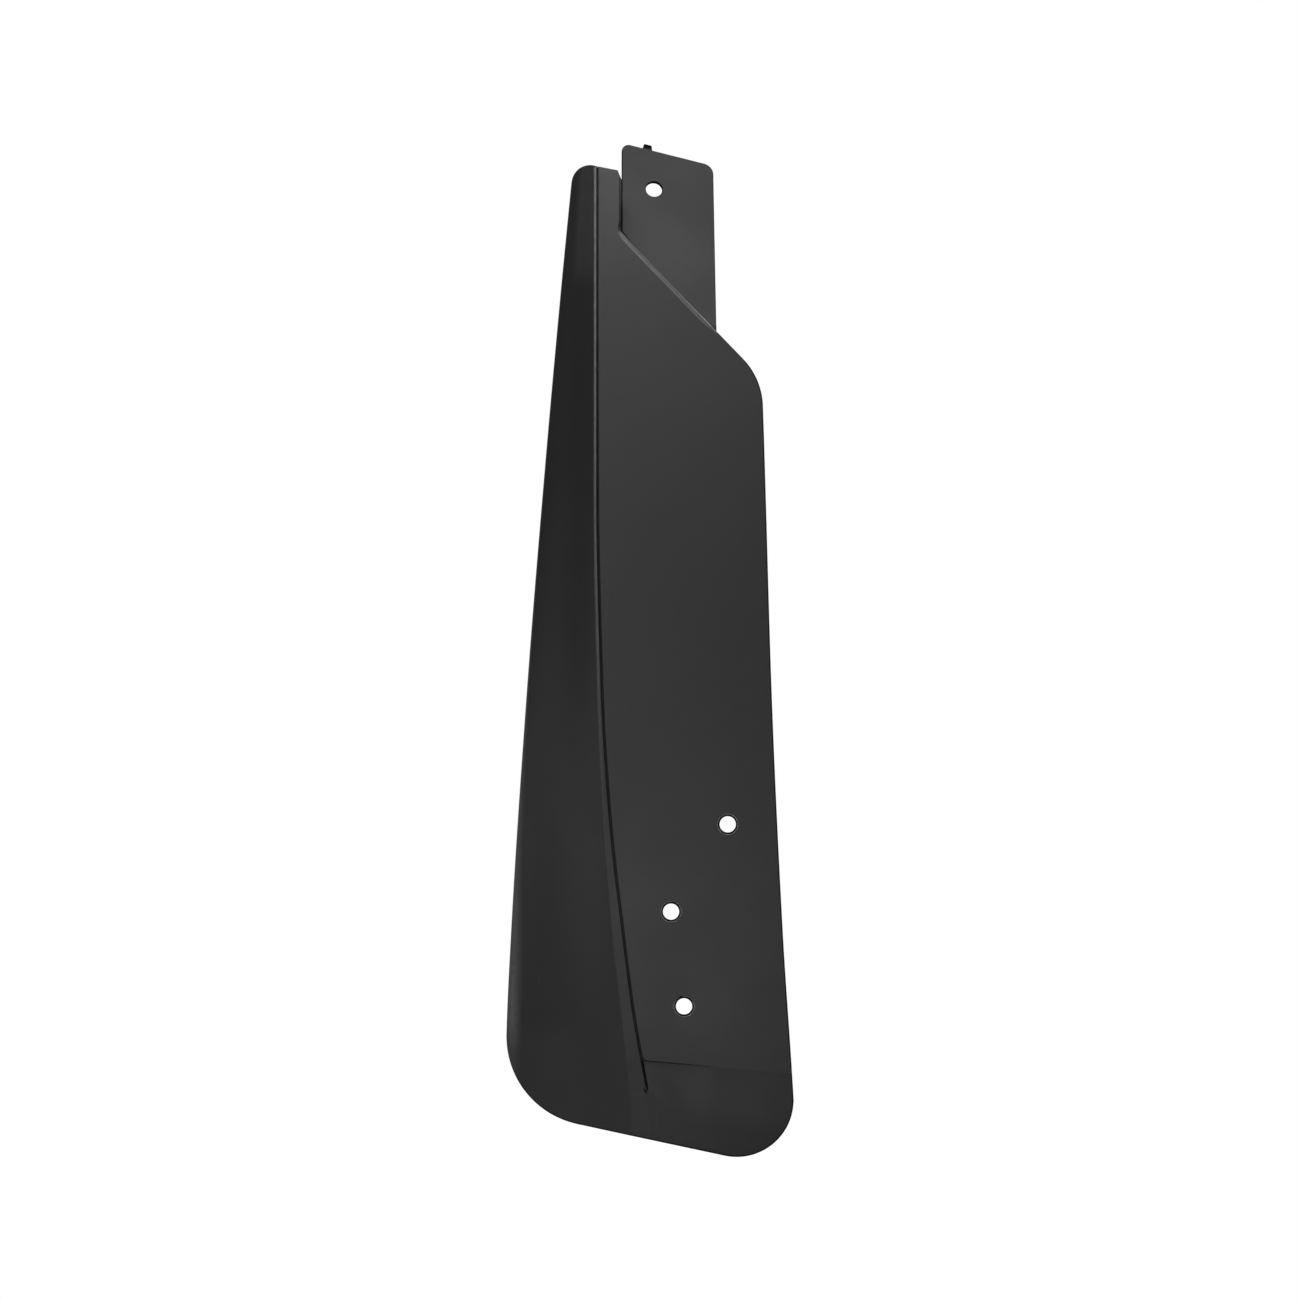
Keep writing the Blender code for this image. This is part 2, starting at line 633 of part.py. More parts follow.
def make_screw_mesh(length, parts, material):
    """Pan-head self-tapping screw with its head's underside at z = 0 and its point below."""
    dome = [(0.0, SCREW_HEAD_HEIGHT), (2.2, SCREW_HEAD_HEIGHT - 0.1), (3.4, SCREW_HEAD_HEIGHT - 0.8),
            (SCREW_HEAD_RADIUS, SCREW_HEAD_HEIGHT - 1.8), (SCREW_HEAD_RADIUS, 0.0)]
    shank = [(SCREW_RADIUS, 0.0), (SCREW_RADIUS, 0.8 - length), (0.0, -length)]
    return turned("screw", dome + shank, parts, material, SMALL_SIDES)


def fix_with_screw(name, place, clamp_back, parts, cutters, materials):
    """A washer on the surface at clamp_back, and a screw through it into the plate's boss."""
    x, z = place
    washer_back = clamp_back + GAP + WASHER_THICK
    ring = [(WASHER_RADIUS, WASHER_THICK), (WASHER_RADIUS, 0.0), (WASHER_HOLE, 0.0),
            (WASHER_HOLE, WASHER_THICK)]
    washer = turned(name.replace("screw", "washer"), ring, parts, materials["washer"],
                    SMALL_SIDES, closed=True)
    face_back(washer, x, clamp_back + GAP, z)
    head_front = washer_back + GAP
    screw = make_screw_mesh(head_front - PILOT_FRONT - 0.4, parts, materials["screw"])
    screw.name = name
    face_back(screw, x, head_front, z)
    top = head_front + SCREW_HEAD_HEIGHT
    socket = cylinders([place], SOCKET_RADIUS, top - SOCKET_DEPTH, top + 1.0, 6)
    boolean(screw, finish_object(socket, name + "_socket", cutters), "DIFFERENCE")


def seal_section(z):
    """Channel section pushed over the end of the guard's return flange."""
    lines = wing_lines(z)
    outside = -(GAP + SEAL_WALL)
    inside = GUARD_THICK + GAP + SEAL_WALL
    mouth = lines["flange"] - SEAL_GRIP
    floor = lines["flange"] + GAP
    end = floor + SEAL_WALL
    channel = [(mouth, outside), (end, outside), (end, inside), (mouth, inside),
               (mouth, inside - SEAL_WALL), (floor, inside - SEAL_WALL), (floor, -GAP), (mouth, -GAP)]
    points = [lines["roll_end"] + lines["run"] * a + lines["across"] * b for a, b in channel]
    return [(point.x, point.y, z) for point in points]


def make_seal(parts, material):
    sections = [seal_section(z) for z in heights(SEAL_FROM, SEAL_TO, 16)]
    return finish_object(loft(sections), "edge_seal", parts, material)


# ---------------------------------------------------------------- assembly

def hang_on_frame(*collections):
    """Parent every object to an empty that moves the drawing's zero point to the frame's origin."""
    frame = bpy.data.objects.new("flap_frame", None)
    frame.location = (-ORIGIN_X * MM, -SHEET_BACK * MM, -ORIGIN_Z * MM)
    collections[0].objects.link(frame)
    for collection in collections:
        for obj in collection.objects:
            if obj is not frame:
                obj.parent = frame


def main():
    clear_scene()
    parts = make_collection("mud_flap")
    cutters = make_collection("cutters")
    plastic = make_material("black_plastic", (0.035, 0.035, 0.036), 0.5)
    plate_plastic = make_material("panel_plastic", (0.05, 0.05, 0.051), 0.48)
    steel = make_material("coated_steel", (0.05, 0.05, 0.05), 0.45, 0.3)
    zinc = make_material("screw_steel", (0.12, 0.12, 0.12), 0.35, 0.9)
    rubber = make_material("seal_rubber", (0.02, 0.02, 0.02), 0.7)
    fixings = {"screw": zinc, "washer": zinc}

    make_guard(parts, cutters, plastic)
    make_plate(parts, cutters, plate_plastic)
    make_bracket(parts, cutters, steel)
    for label, place in MOUNT_HOLES.items():
        make_sleeve("hole_sleeve_" + label, place, parts, steel)
    for number, place in enumerate(plate_screws(), 1):
        fix_with_screw(f"plate_screw_{number}", place, SHEET_BACK, parts, cutters, fixings)
    for number, place in enumerate(BRACKET_SCREWS, 1):
        clamp = BRACKET_FRONT + BRACKET_THICK
        fix_with_screw(f"bracket_screw_{number}", place, clamp, parts, cutters, fixings)
    make_seal(parts, rubber)
    hang_on_frame(parts, cutters)


main()
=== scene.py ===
"""Looks of the left-hand mud flap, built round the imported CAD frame.

Every piece is drawn in the CAD drawing's millimetres: x to the right, y to the back with the
plate's front face at y = 0, and z up from the lowest point. SHIFT moves a drawing point to the
frame.
"""

import math

import bmesh
import bpy
import numpy as np
from mathutils import Matrix, Vector
from mathutils.geometry import tessellate_polygon


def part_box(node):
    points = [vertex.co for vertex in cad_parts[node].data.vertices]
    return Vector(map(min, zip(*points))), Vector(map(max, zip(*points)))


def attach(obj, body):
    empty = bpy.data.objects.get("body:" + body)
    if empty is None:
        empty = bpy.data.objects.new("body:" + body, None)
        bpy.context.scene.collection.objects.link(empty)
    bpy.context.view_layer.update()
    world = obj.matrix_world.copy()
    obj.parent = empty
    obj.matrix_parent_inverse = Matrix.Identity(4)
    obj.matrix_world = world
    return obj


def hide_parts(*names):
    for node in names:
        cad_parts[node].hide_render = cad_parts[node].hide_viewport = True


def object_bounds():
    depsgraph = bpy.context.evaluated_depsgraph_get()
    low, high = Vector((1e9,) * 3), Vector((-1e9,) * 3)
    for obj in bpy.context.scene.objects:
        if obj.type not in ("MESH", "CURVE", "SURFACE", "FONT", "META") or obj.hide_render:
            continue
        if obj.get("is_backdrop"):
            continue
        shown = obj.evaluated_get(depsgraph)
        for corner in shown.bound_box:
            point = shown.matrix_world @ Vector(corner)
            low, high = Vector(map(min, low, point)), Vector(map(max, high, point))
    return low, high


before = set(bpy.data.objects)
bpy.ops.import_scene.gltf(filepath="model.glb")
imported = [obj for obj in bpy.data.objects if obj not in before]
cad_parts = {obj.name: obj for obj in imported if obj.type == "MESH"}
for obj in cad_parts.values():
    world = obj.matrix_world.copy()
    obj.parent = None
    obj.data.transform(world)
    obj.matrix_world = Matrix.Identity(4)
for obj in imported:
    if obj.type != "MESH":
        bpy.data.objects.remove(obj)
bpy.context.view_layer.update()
BODY = "root"
MM = 0.001

# ---- the drawing's dimensions, in mm

PLATE_THICK = 2.5
SHEET_FRONT = 2.8
SHEET_BACK = 5.3
GUARD_THICK = 2.5
BRACKET_FRONT = 5.6
BRACKET_THICK = 2.2
GAP = 0.3
STEP_GAP = 0.3

TOP_EDGE = (482.7, -0.20)
STEP_EDGE = (47.2, -0.0886)
BOTTOM_EDGE = (8.5, -0.213)
SEAM_HALF_GAP = 0.4
SEAM_NARROWING = 0.3
WING_CORNER_TOP = 9.0
WING_CORNER_BOTTOM = 44.0
LIP_CORNER = 28.0
LIP_CORNER_X = 72.9
LIP_SUNK = 1.0
LIP_LEVEL_FROM = 12.0
LIP_LEVEL_AT = 32.5
LIP_RISE = 30.0
LIP_RISE_AT_SEAM = 16.5
GROOVE_END = 31.5
GROOVE_DEPTH = 1.4

STRIP_CORNER = (-15.9, 485.9)
STRIP_CHAMFER_END = (-14.7, 482.9)
SHOULDER_START = (-14.9, 455.9)
SHOULDER_END = (55.2, 383.4)
SHOULDER_RADIUS = 35.0
SHOULDER_FLANGE_FADES = 0.6
SHOULDER_FLANGE_END = 0.655
PLATE_CORNER = 2.0
PLATE_RIGHT_MARGIN = 0.8
FLANGE_WALL = 2.0
FLANGE_DRAFT = 0.09
FLANGE_CLEARANCE = 2.1
SHEET_INSET = 3.0

BEND_START = (-14.2, 419.4)
BEND_END = (32.5, 407.7)
LEAN = math.radians(27.5)
BEND_RADIUS = 4.0
TAB_LEFT_X = -13.8
TAB_RISE = 87.9
TAB_CORNER = 3.4
LEAF_CORNER = 6.0
LEAF_DROP = 62.0
TAB_HOLE_AT = (2.05, 476.9)
TAB_HOLE_RADIUS = 4.1
LUG_SHAPE = ((-3.6, 0.0), (-2.8, 2.55), (0.9, 2.55), (1.1, 0.0))

MOUNT_HOLES = {"upper": (38.3, 163.8), "middle": (10.4, 120.8), "lower": (16.8, 74.2)}
SLEEVE_OUTER = 5.0
SLEEVE_INNER = 4.0
BRACKET_SCREWS = ((-2.0, 384.0), (23.0, 378.0))
BOSS_RADIUS = 4.0
PILOT_RADIUS = 2.0
WASHER_HOLE = 2.2
SEAL_FROM = 92.0
SEAL_TO = 452.0
SEAL_WALL = 1.2
SEAL_GRIP = 4.8

# Radii of softened edges, the back's bend at the wing's fold, and the angle from which an edge is sharp
MOULD_EDGE = 0.7
SHEET_EDGE = 0.4
RIM_CORNER = 0.5
ROLLED_EDGE = 2.3
STEP_SOFTENING = 0.35
PLATE_EDGE = 0.45
FINE_EDGE = 0.3
LEAST_EDGE = 0.05
BACK_BEND = 1.6
SHARP_ANGLE = math.radians(34)

# Points along the long curved sides, and steps of the halving that finds where surfaces end
SIDE_POINTS = 60
SEAM_POINTS = 90
HALVINGS = 36


class Curve:
    """Smooth line through (height, value) stations that never overshoots them."""

    def __init__(self, *stations):
        self.z, self.v = np.array(stations, float).T
        step = np.diff(self.v) / np.diff(self.z)
        before = np.append(step[:1], step)
        after = np.append(step, step[-1:])
        alike = before * after > 0
        self.slope = np.where(alike, 2 * before * after / np.where(alike, before + after, 1.0), 0.0)

    def __call__(self, z):
        z = np.clip(z, self.z[0], self.z[-1])
        k = np.clip(np.searchsorted(self.z, z) - 1, 0, len(self.z) - 2)
        span = self.z[k + 1] - self.z[k]
        t = (z - self.z[k]) / span
        leave = self.slope[k] * span
        arrive = self.slope[k + 1] * span
        return ((2 * t ** 3 - 3 * t ** 2 + 1) * self.v[k] + (t ** 3 - 2 * t ** 2 + t) * leave
                + (3 * t ** 2 - 2 * t ** 3) * self.v[k + 1] + (t ** 3 - t ** 2) * arrive)


LEFT_EDGE = Curve((-8, -71.9), (58, -70.82), (110, -68.5), (228, -60.8), (344, -51.4), (429, -43.7),
                  (496, -37.1))
RIGHT_EDGE = Curve((-10, 73.0), (41, 70.0), (111, 65.4), (227, 60.0), (330, 56.9), (390, 55.1))
SEAM = Curve((-8, 5.0), (32, -1.1), (70, -7.9), (110, -13.1), (170, -19.8), (230, -23.5), (330, -25.7),
             (496, -25.7))
CREST = Curve((-8, -7.4), (32, -9.9), (48, -11.6), (70, -13.9), (110, -18.5), (170, -23.1), (230, -25.7),
              (330, -27.4), (496, -27.4))
RIM_FRONT = Curve((-8, -1.0), (32, -1.1), (60, -1.5), (110, -1.2), (200, -0.6), (300, -0.3), (496, -0.3))
WING_FOLD = Curve((-8, 23), (56, 24), (80, 28), (140, 37), (200, 44), (300, 52), (400, 57), (496, 60))
EDGE_RADIUS = Curve((-8, 14), (70, 14), (120, 12), (200, 8), (300, 5), (400, 3.6), (496, 3.2))
EDGE_ROLL = Curve((-8, 90), (52, 90), (80, 115), (462, 115), (486, 90), (496, 90))
FLANGE_LENGTH = Curve((-8, 0.5), (52, 0.5), (84, 8), (458, 8), (486, 1.5), (496, 1.5))
CREST_ROUND = Curve((-8, 2.6), (60, 2.6), (200, 1.9), (330, 1.8), (496, 1.8))
WING_HOLLOW = Curve((-8, 0.4), (60, 1.0), (180, 1.3), (320, 0.8), (496, 0.3))
TAB_RIGHT = Curve((350, 33.8), (407, 32.8), (446, 32.0), (486, 31.2))

# x of the seam at the top edge and at the step, and of the step's right end
SEAM_TOP_X = SEAM(490)
SEAM_FOOT_X = SEAM(STEP_EDGE[0])
STEP_RIGHT_X = RIGHT_EDGE(41)


def drawing_shift():
    """Move from the drawing to the frame, measured on the upper mounting hole's sleeve."""
    low, high = (Vector(corner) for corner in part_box("hole_sleeve_upper"))
    hole_x, hole_z = MOUNT_HOLES["upper"]
    shift = (low + high) / 2 - Vector((hole_x, 0, hole_z)) * MM
    shift.y = low.y
    return shift


SHIFT = drawing_shift()


# ---- measuring helpers

def ease(value, start, end):
    """Share of the way from start to end, which sets off and arrives gently."""
    t = np.clip((value - start) / (end - start), 0.0, 1.0)
    return t * t * (3 - 2 * t)


def mix(a, b, t):
    return a + (b - a) * t


def edge_z(edge, x):
    """Height of a straight edge of the front view at x."""
    return edge[0] + edge[1] * x


def unit(vectors):
    size = np.linalg.norm(vectors, axis=-1, keepdims=True)
    return vectors / np.maximum(size, 1e-9)


def dot(a, b):
    return np.sum(a * b, axis=-1)


def fillet_centre(corner, before, after, radius):
    """Centre of the arc that rounds a corner, and the corner's half angle."""
    corner = Vector(corner)
    back = (Vector(before) - corner).normalized()
    ahead = (Vector(after) - corner).normalized()
    half = back.angle(ahead) / 2
    return corner + (back + ahead).normalized() * (radius / math.sin(half)), half


def fillet(corner, before, after, radius, steps=12):
    """Arc that rounds a corner of an outline, between the points before and after it."""
    corner = Vector(corner)
    centre, half = fillet_centre(corner, before, after, radius)
    reach = radius / math.tan(half)
    start = corner + (Vector(before) - corner).normalized() * reach - centre
    end = corner + (Vector(after) - corner).normalized() * reach - centre
    turn = start.angle_signed(end)
    points = []
    for k in range(steps + 1):
        arm = start.copy()
        arm.rotate(Matrix.Rotation(-turn * k / steps, 2))
        points.append(tuple(centre + arm))
    return points


def dense(outline, step=3.0):
    """The closed outline with points added, so that none are further apart than step."""
    points = []
    for (x0, z0), (x1, z1) in zip(outline, outline[1:] + outline[:1]):
        count = max(1, math.ceil(math.hypot(x1 - x0, z1 - z0) / step - 1e-6))
        points += [(mix(x0, x1, k / count), mix(z0, z1, k / count)) for k in range(count)]
    return points


def full_turn(sides):
    return np.arange(sides) * (2 * math.pi / sides)


def quarter_turn(steps=4):
    return [math.pi / 2 * k / steps for k in range(steps + 1)]


def circle(x, z, radius, sides=48):
    return [(x + radius * math.cos(a), z + radius * math.sin(a)) for a in full_turn(sides)]


# ---- solids

class Solid:
    """One closed body: its points in drawing millimetres, the painted light, shade or wear of each, and its
    faces.
    """

    def __init__(self):
        self.points = []
        self.painted_light_and_wear = []
        self.faces = []
        self.flat_faces = []

    def add(self, points, painted_light_and_wear=0.0):
        points = np.asarray(points, float)
        first = len(self.points)
        self.points.extend(points.reshape(-1, 3))
        self.painted_light_and_wear.extend(np.broadcast_to(painted_light_and_wear, points.shape[:-1]).reshape(-1))
        return np.arange(first, len(self.points)).reshape(points.shape[:-1])

    def weave(self, ids, closed=False):
        """Quads between neighbouring rows of point numbers."""
        if closed:
            ids = np.concatenate([ids, ids[:, :1]], axis=1)
        quads = np.stack([ids[:-1, :-1], ids[:-1, 1:], ids[1:, 1:], ids[1:, :-1]], axis=-1)
        self.faces.extend(quads.reshape(-1, 4).tolist())

    def bmesh(self):
        bm = bmesh.new()
        layer = bm.verts.layers.float.new("painted_light_and_wear")
        verts = [bm.verts.new(point) for point in self.points]
        for vert, painted_light_and_wear in zip(verts, self.painted_light_and_wear):
            vert[layer] = painted_light_and_wear
        for face in self.faces:
            bm.faces.new([verts[k] for k in face]).smooth = True
        for face in self.flat_faces:
            bm.faces.new([verts[k] for k in face])
        bmesh.ops.remove_doubles(bm, verts=bm.verts, dist=1e-4)
        bmesh.ops.recalc_face_normals(bm, faces=bm.faces)
        return bm


def corner_reach(out_before, out_after, before, after):
    """Vectors that reach a distance past each of two neighbouring sides at once."""
    cosine = dot(out_before, out_after)[..., None]
    before = np.asarray(before, float)[..., None]
    after = np.asarray(after, float)[..., None]
    straight = unit(out_before + out_after) * (before + after) / 2
    room = np.maximum(1 - cosine ** 2, 0.02)
    bent = (out_before * (before - cosine * after) + out_after * (after - cosine * before)) / room
    return np.where(1 - cosine ** 2 < 0.06, straight, bent)


def border(grid):
    """Rows and columns of a grid's border points, in order round the grid."""
    rows, columns = grid.shape[:2]
    loop = [(0, k) for k in range(columns)]
    loop += [(j, columns - 1) for j in range(1, rows)]
    loop += [(rows - 1, k) for k in range(columns - 2, -1, -1)]
    loop += [(j, 0) for j in range(rows - 2, 0, -1)]
    return tuple(np.array(loop).T)


def side_radii(grid, low, last, high, first):
    """Edge radius before and after each border point, from one value or array a side."""
    rows, columns = grid.shape[:2]
    low, high = (np.broadcast_to(value, columns).astype(float) for value in (low, high))
    last, first = (np.broadcast_to(value, rows).astype(float) for value in (last, first))
    after = np.concatenate([low[:-1], last[:-1], high[:0:-1], first[:0:-1]])
    before = np.concatenate([first[:1], low[1:], last[1:], high[-2::-1], first[-2:0:-1]])
    return np.where(before < LEAST_EDGE, 0.0, before), np.where(after < LEAST_EDGE, 0.0, after)


def edge_light_and_wear(rows, painted_light_and_wear):
    """Painted light or wear of an edge's rows, without any where a closed-up edge lies on either face."""
    on_face = [np.linalg.norm(rows - row, axis=-1) < 1e-3 for row in (rows[0], rows[-1])]
    return np.where(on_face[0] | on_face[1], 0.0, painted_light_and_wear)


def sheet_edge(grid, radii, across):
    """Rows of points that round a grid's border, and the edge radius at each border point."""
    loop = border(grid)
    points = grid[loop]
    normals = unit(np.cross(np.gradient(grid, axis=1), np.gradient(grid, axis=0)))[loop]
    out_after = unit(np.cross(unit(np.roll(points, -1, axis=0) - points), normals))
    if np.sum(dot(out_after, points - points.mean(axis=0))) < 0:
        out_after = -out_after
    before, after = side_radii(grid, *radii)
    bulge = corner_reach(np.roll(out_after, 1, axis=0), out_after, before, after)
    radius = np.maximum(before, after)
    rows = []
    for angle in quarter_turn():
        sink = (radius * (1 - math.cos(angle)))[:, None]
        rows.append(points + bulge * math.sin(angle) + across * sink)
    return rows, radius


def thick_sheet(front, back, front_radii, back_radii, face_painted_light):
    """Closed body between two grids of points, with softened edges all round."""
    solid = Solid()
    front_ids = solid.add(front, face_painted_light)
    back_ids = solid.add(back)
    solid.weave(front_ids)
    solid.weave(back_ids)
    loop = border(front)
    across = unit(back[loop] - front[loop])
    front_rows, radius = sheet_edge(front, front_radii, across)
    back_rows, _ = sheet_edge(back, back_radii, -across)
    rows = np.array(front_rows + back_rows[::-1])
    # Rounded edges are painted darker, a painted shade line all round the sheet.
    painted_edge_shade = edge_light_and_wear(rows, -0.5 * np.clip(radius / MOULD_EDGE, 0, 1))
    edge_ids = solid.add(rows[1:-1], painted_edge_shade[1:-1])
    solid.weave(np.array([front_ids[loop], *edge_ids, back_ids[loop]]), closed=True)
    return solid


def outline_reach(outline, radii):
    """Outward vectors at an outline's points, square to both sides, for a radius on each side."""
    ahead = np.roll(outline, -1, axis=0) - outline
    out_after = unit(np.stack([ahead[:, 1], -ahead[:, 0]], axis=-1))
    out_before = np.roll(out_after, 1, axis=0)
    return corner_reach(out_before, out_after, np.roll(radii, 1), radii)


def turned_way(outline, anticlockwise):
    outline = np.asarray(outline, float)
    x, z = outline.T
    area = np.sum(x * np.roll(z, -1) - np.roll(x, -1) * z)
    return outline if (area > 0) == anticlockwise else outline[::-1]


def rounded_rows(outline, radii, face_y, inwards, steps=4):
    """Rows of points that round the edge of a flat face, from the face on."""
    reach = outline_reach(outline, radii)
    radius = np.maximum(radii, np.roll(radii, 1))
    rows = []
    for angle in quarter_turn(steps):
        points = outline - reach * (1 - math.sin(angle))
        y = face_y + inwards * radius * (1 - math.cos(angle))
        rows.append(np.stack([points[:, 0], y, points[:, 1]], axis=-1))
    return rows


def plain_profile(outline, radii, front_y, back_y):
    """Rows of points round a flat slab's edge, from its front face to its back face."""
    return rounded_rows(outline, radii, front_y, 1) + rounded_rows(outline, radii, back_y, -1)[::-1]


def slab(profiles, painted_lights_and_wears):
    """Flat body from the edge rows of its outline and of its holes, and their painted light, shade or wear.
    """
    solid = Solid()
    fronts, backs = [], []
    for rows, painted_light_and_wear in zip(profiles, painted_lights_and_wears):
        rows = np.array(rows)
        ids = solid.add(rows, edge_light_and_wear(rows, painted_light_and_wear))
        solid.weave(ids, closed=True)
        fronts.append(ids[0])
        backs.append(ids[-1])
    for loops in (fronts, backs):
        flat = np.concatenate(loops)
        shapes = [[Vector((solid.points[k][0], solid.points[k][2], 0)) for k in loop] for loop in loops]
        solid.flat_faces += [[int(flat[k]) for k in triangle] for triangle in tessellate_polygon(shapes)]
    return solid


# Edge rows are painted 0.3 paler by default; a negative value paints them darker instead.
def plain_slab(outline, holes, radius, front_y, back_y, hole_radius=FINE_EDGE, painted_light_and_wear=0.3):
    outline = turned_way(outline, True)
    radii = radius(outline) if callable(radius) else np.full(len(outline), radius)
    profiles = [plain_profile(outline, radii, front_y, back_y)]
    for hole in holes:
        hole = turned_way(hole, False)
        profiles.append(plain_profile(hole, np.full(len(hole), hole_radius), front_y, back_y))
    return slab(profiles, [painted_light_and_wear] * len(profiles))


def rings(profile, x, z, turns):
    """Rings of points about the line at (x, z) that runs front to back, one for each (radius, y)."""
    rows = []
    for radius, y in profile:
        depth = np.full(len(turns), y)
        rows.append(np.stack([x + radius * np.cos(turns), depth, z + radius * np.sin(turns)], axis=-1))
    return np.array(rows)


def turned(profile, x, z, sides, painted_light_and_wear=0.0):
    """Ring turned about the line at (x, z) that runs front to back, from (radius, y) points."""
    solid = Solid()
    ids = solid.add(rings(profile, x, z, full_turn(sides)), painted_light_and_wear)
    solid.weave(np.concatenate([ids, ids[:1]]), closed=True)
    return solid


def piece(name, solids, material, slot, *nodes):
    """Makes one object of closed bodies, puts it in the frame and lets it stand for CAD nodes."""
    whole = bmesh.new()
    whole.verts.layers.float.new("painted_light_and_wear")
    for solid in solids:
        part = solid if isinstance(solid, bmesh.types.BMesh) else solid.bmesh()
        holder = bpy.data.meshes.new("part")
        part.to_mesh(holder)
        part.free()
        whole.from_mesh(holder)
        bpy.data.meshes.remove(holder)
    bmesh.ops.transform(whole, matrix=Matrix.Translation(SHIFT) @ Matrix.Scale(MM, 4), verts=whole.verts)
    mesh = bpy.data.meshes.new(name)
    whole.to_mesh(mesh)
    whole.free()
    flat = {key for face in mesh.polygons if not face.use_smooth for key in face.edge_keys}
    mesh.set_sharp_from_angle(angle=SHARP_ANGLE)
    for edge in mesh.edges:
        if edge.key in flat:
            edge.use_edge_sharp = True
    mesh.materials.append(material)
    obj = bpy.data.objects.new(name, mesh)
    bpy.context.scene.collection.objects.link(obj)
    normals = obj.modifiers.new("even_shading", "WEIGHTED_NORMAL")
    normals.keep_sharp = True
    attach(obj, BODY)
    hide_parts(*nodes)


# ---- guard: wing

RIM_COLUMNS = np.linspace(0, 1, 5)
CREST_COLUMNS = np.linspace(0, 1, 9)[1:]
FACE_COLUMNS = np.linspace(0, 1, 33)[1:]
ROLL_COLUMNS = np.linspace(0, 1, 19)[1:]
FLANGE_COLUMNS = np.linspace(0, 1, 5)[1:]
WING_COLUMNS = (RIM_COLUMNS, CREST_COLUMNS, FACE_COLUMNS, ROLL_COLUMNS, FLANGE_COLUMNS)
WING_STARTS = np.cumsum([0] + [len(group) for group in WING_COLUMNS])
WING_PARTS = [slice(a, b) for a, b in zip(WING_STARTS, WING_STARTS[1:])]


def lip_rise(x, z):
    """How far below the step the lip comes level with the rim: sooner beside the seam."""
    return mix(LIP_RISE_AT_SEAM, LIP_RISE, ease(x - SEAM(z), 1, 23))


def lip_level(x):
    """How far the lip has come level with the plate along the step, from 0 to 1."""
    return ease(x, LIP_LEVEL_FROM, LIP_LEVEL_AT)


def lip_front(x, z):
    """Front of the guard right of the seam, below the plate; it ends level with the rim."""
    below = edge_z(STEP_EDGE, x) - z
    return mix(LIP_SUNK * (1 - lip_level(x)), RIM_FRONT(z), ease(below, 0, lip_rise(x, z)))


def lip_back(x, z):
    below = edge_z(STEP_EDGE, x) - z
    return mix(SHEET_BACK, lip_front(x, z) + GUARD_THICK, ease(below, 0, lip_rise(x, z)))


def rim_corner(z):
    """Radius of the rim's corner at the seam, which closes where the lip comes level."""
    seam_x = SEAM(z) - SEAM_HALF_GAP
    open_depth = lip_front(seam_x, z) + groove(seam_x, z) - RIM_FRONT(z)
    in_pocket = edge_z(STEP_EDGE, seam_x) < z
    return np.where(in_pocket, RIM_CORNER, np.clip(0.45 * open_depth, 0.0, RIM_CORNER))


def edge_roll(z):
    """The wing's fold angle, and the radius, start and centre of the roll at its outer edge."""
    fold = np.radians(WING_FOLD(z))
    radius = EDGE_RADIUS(z)
    start_x = LEFT_EDGE(z) + radius * (1 - np.sin(fold))
    start_y = RIM_FRONT(z) + (CREST(z) - start_x) * np.tan(fold)
    centre = (start_x + np.sin(fold) * radius, start_y + np.cos(fold) * radius)
    return fold, radius, (start_x, start_y), centre


def rim_section(z, fold, back):
    """Start x and y of the rim, and x and bend radius of the fold's corner, on one face."""
    seam_x = SEAM(z) - SEAM_HALF_GAP
    if not back:
        return seam_x - rim_corner(z), RIM_FRONT(z), CREST(z), CREST_ROUND(z)
    rim_y = lip_back(seam_x, z)
    corner_x = CREST(z) + (GUARD_THICK - np.cos(fold) * (rim_y - RIM_FRONT(z))) / np.sin(fold)
    return seam_x, rim_y, corner_x, BACK_BEND


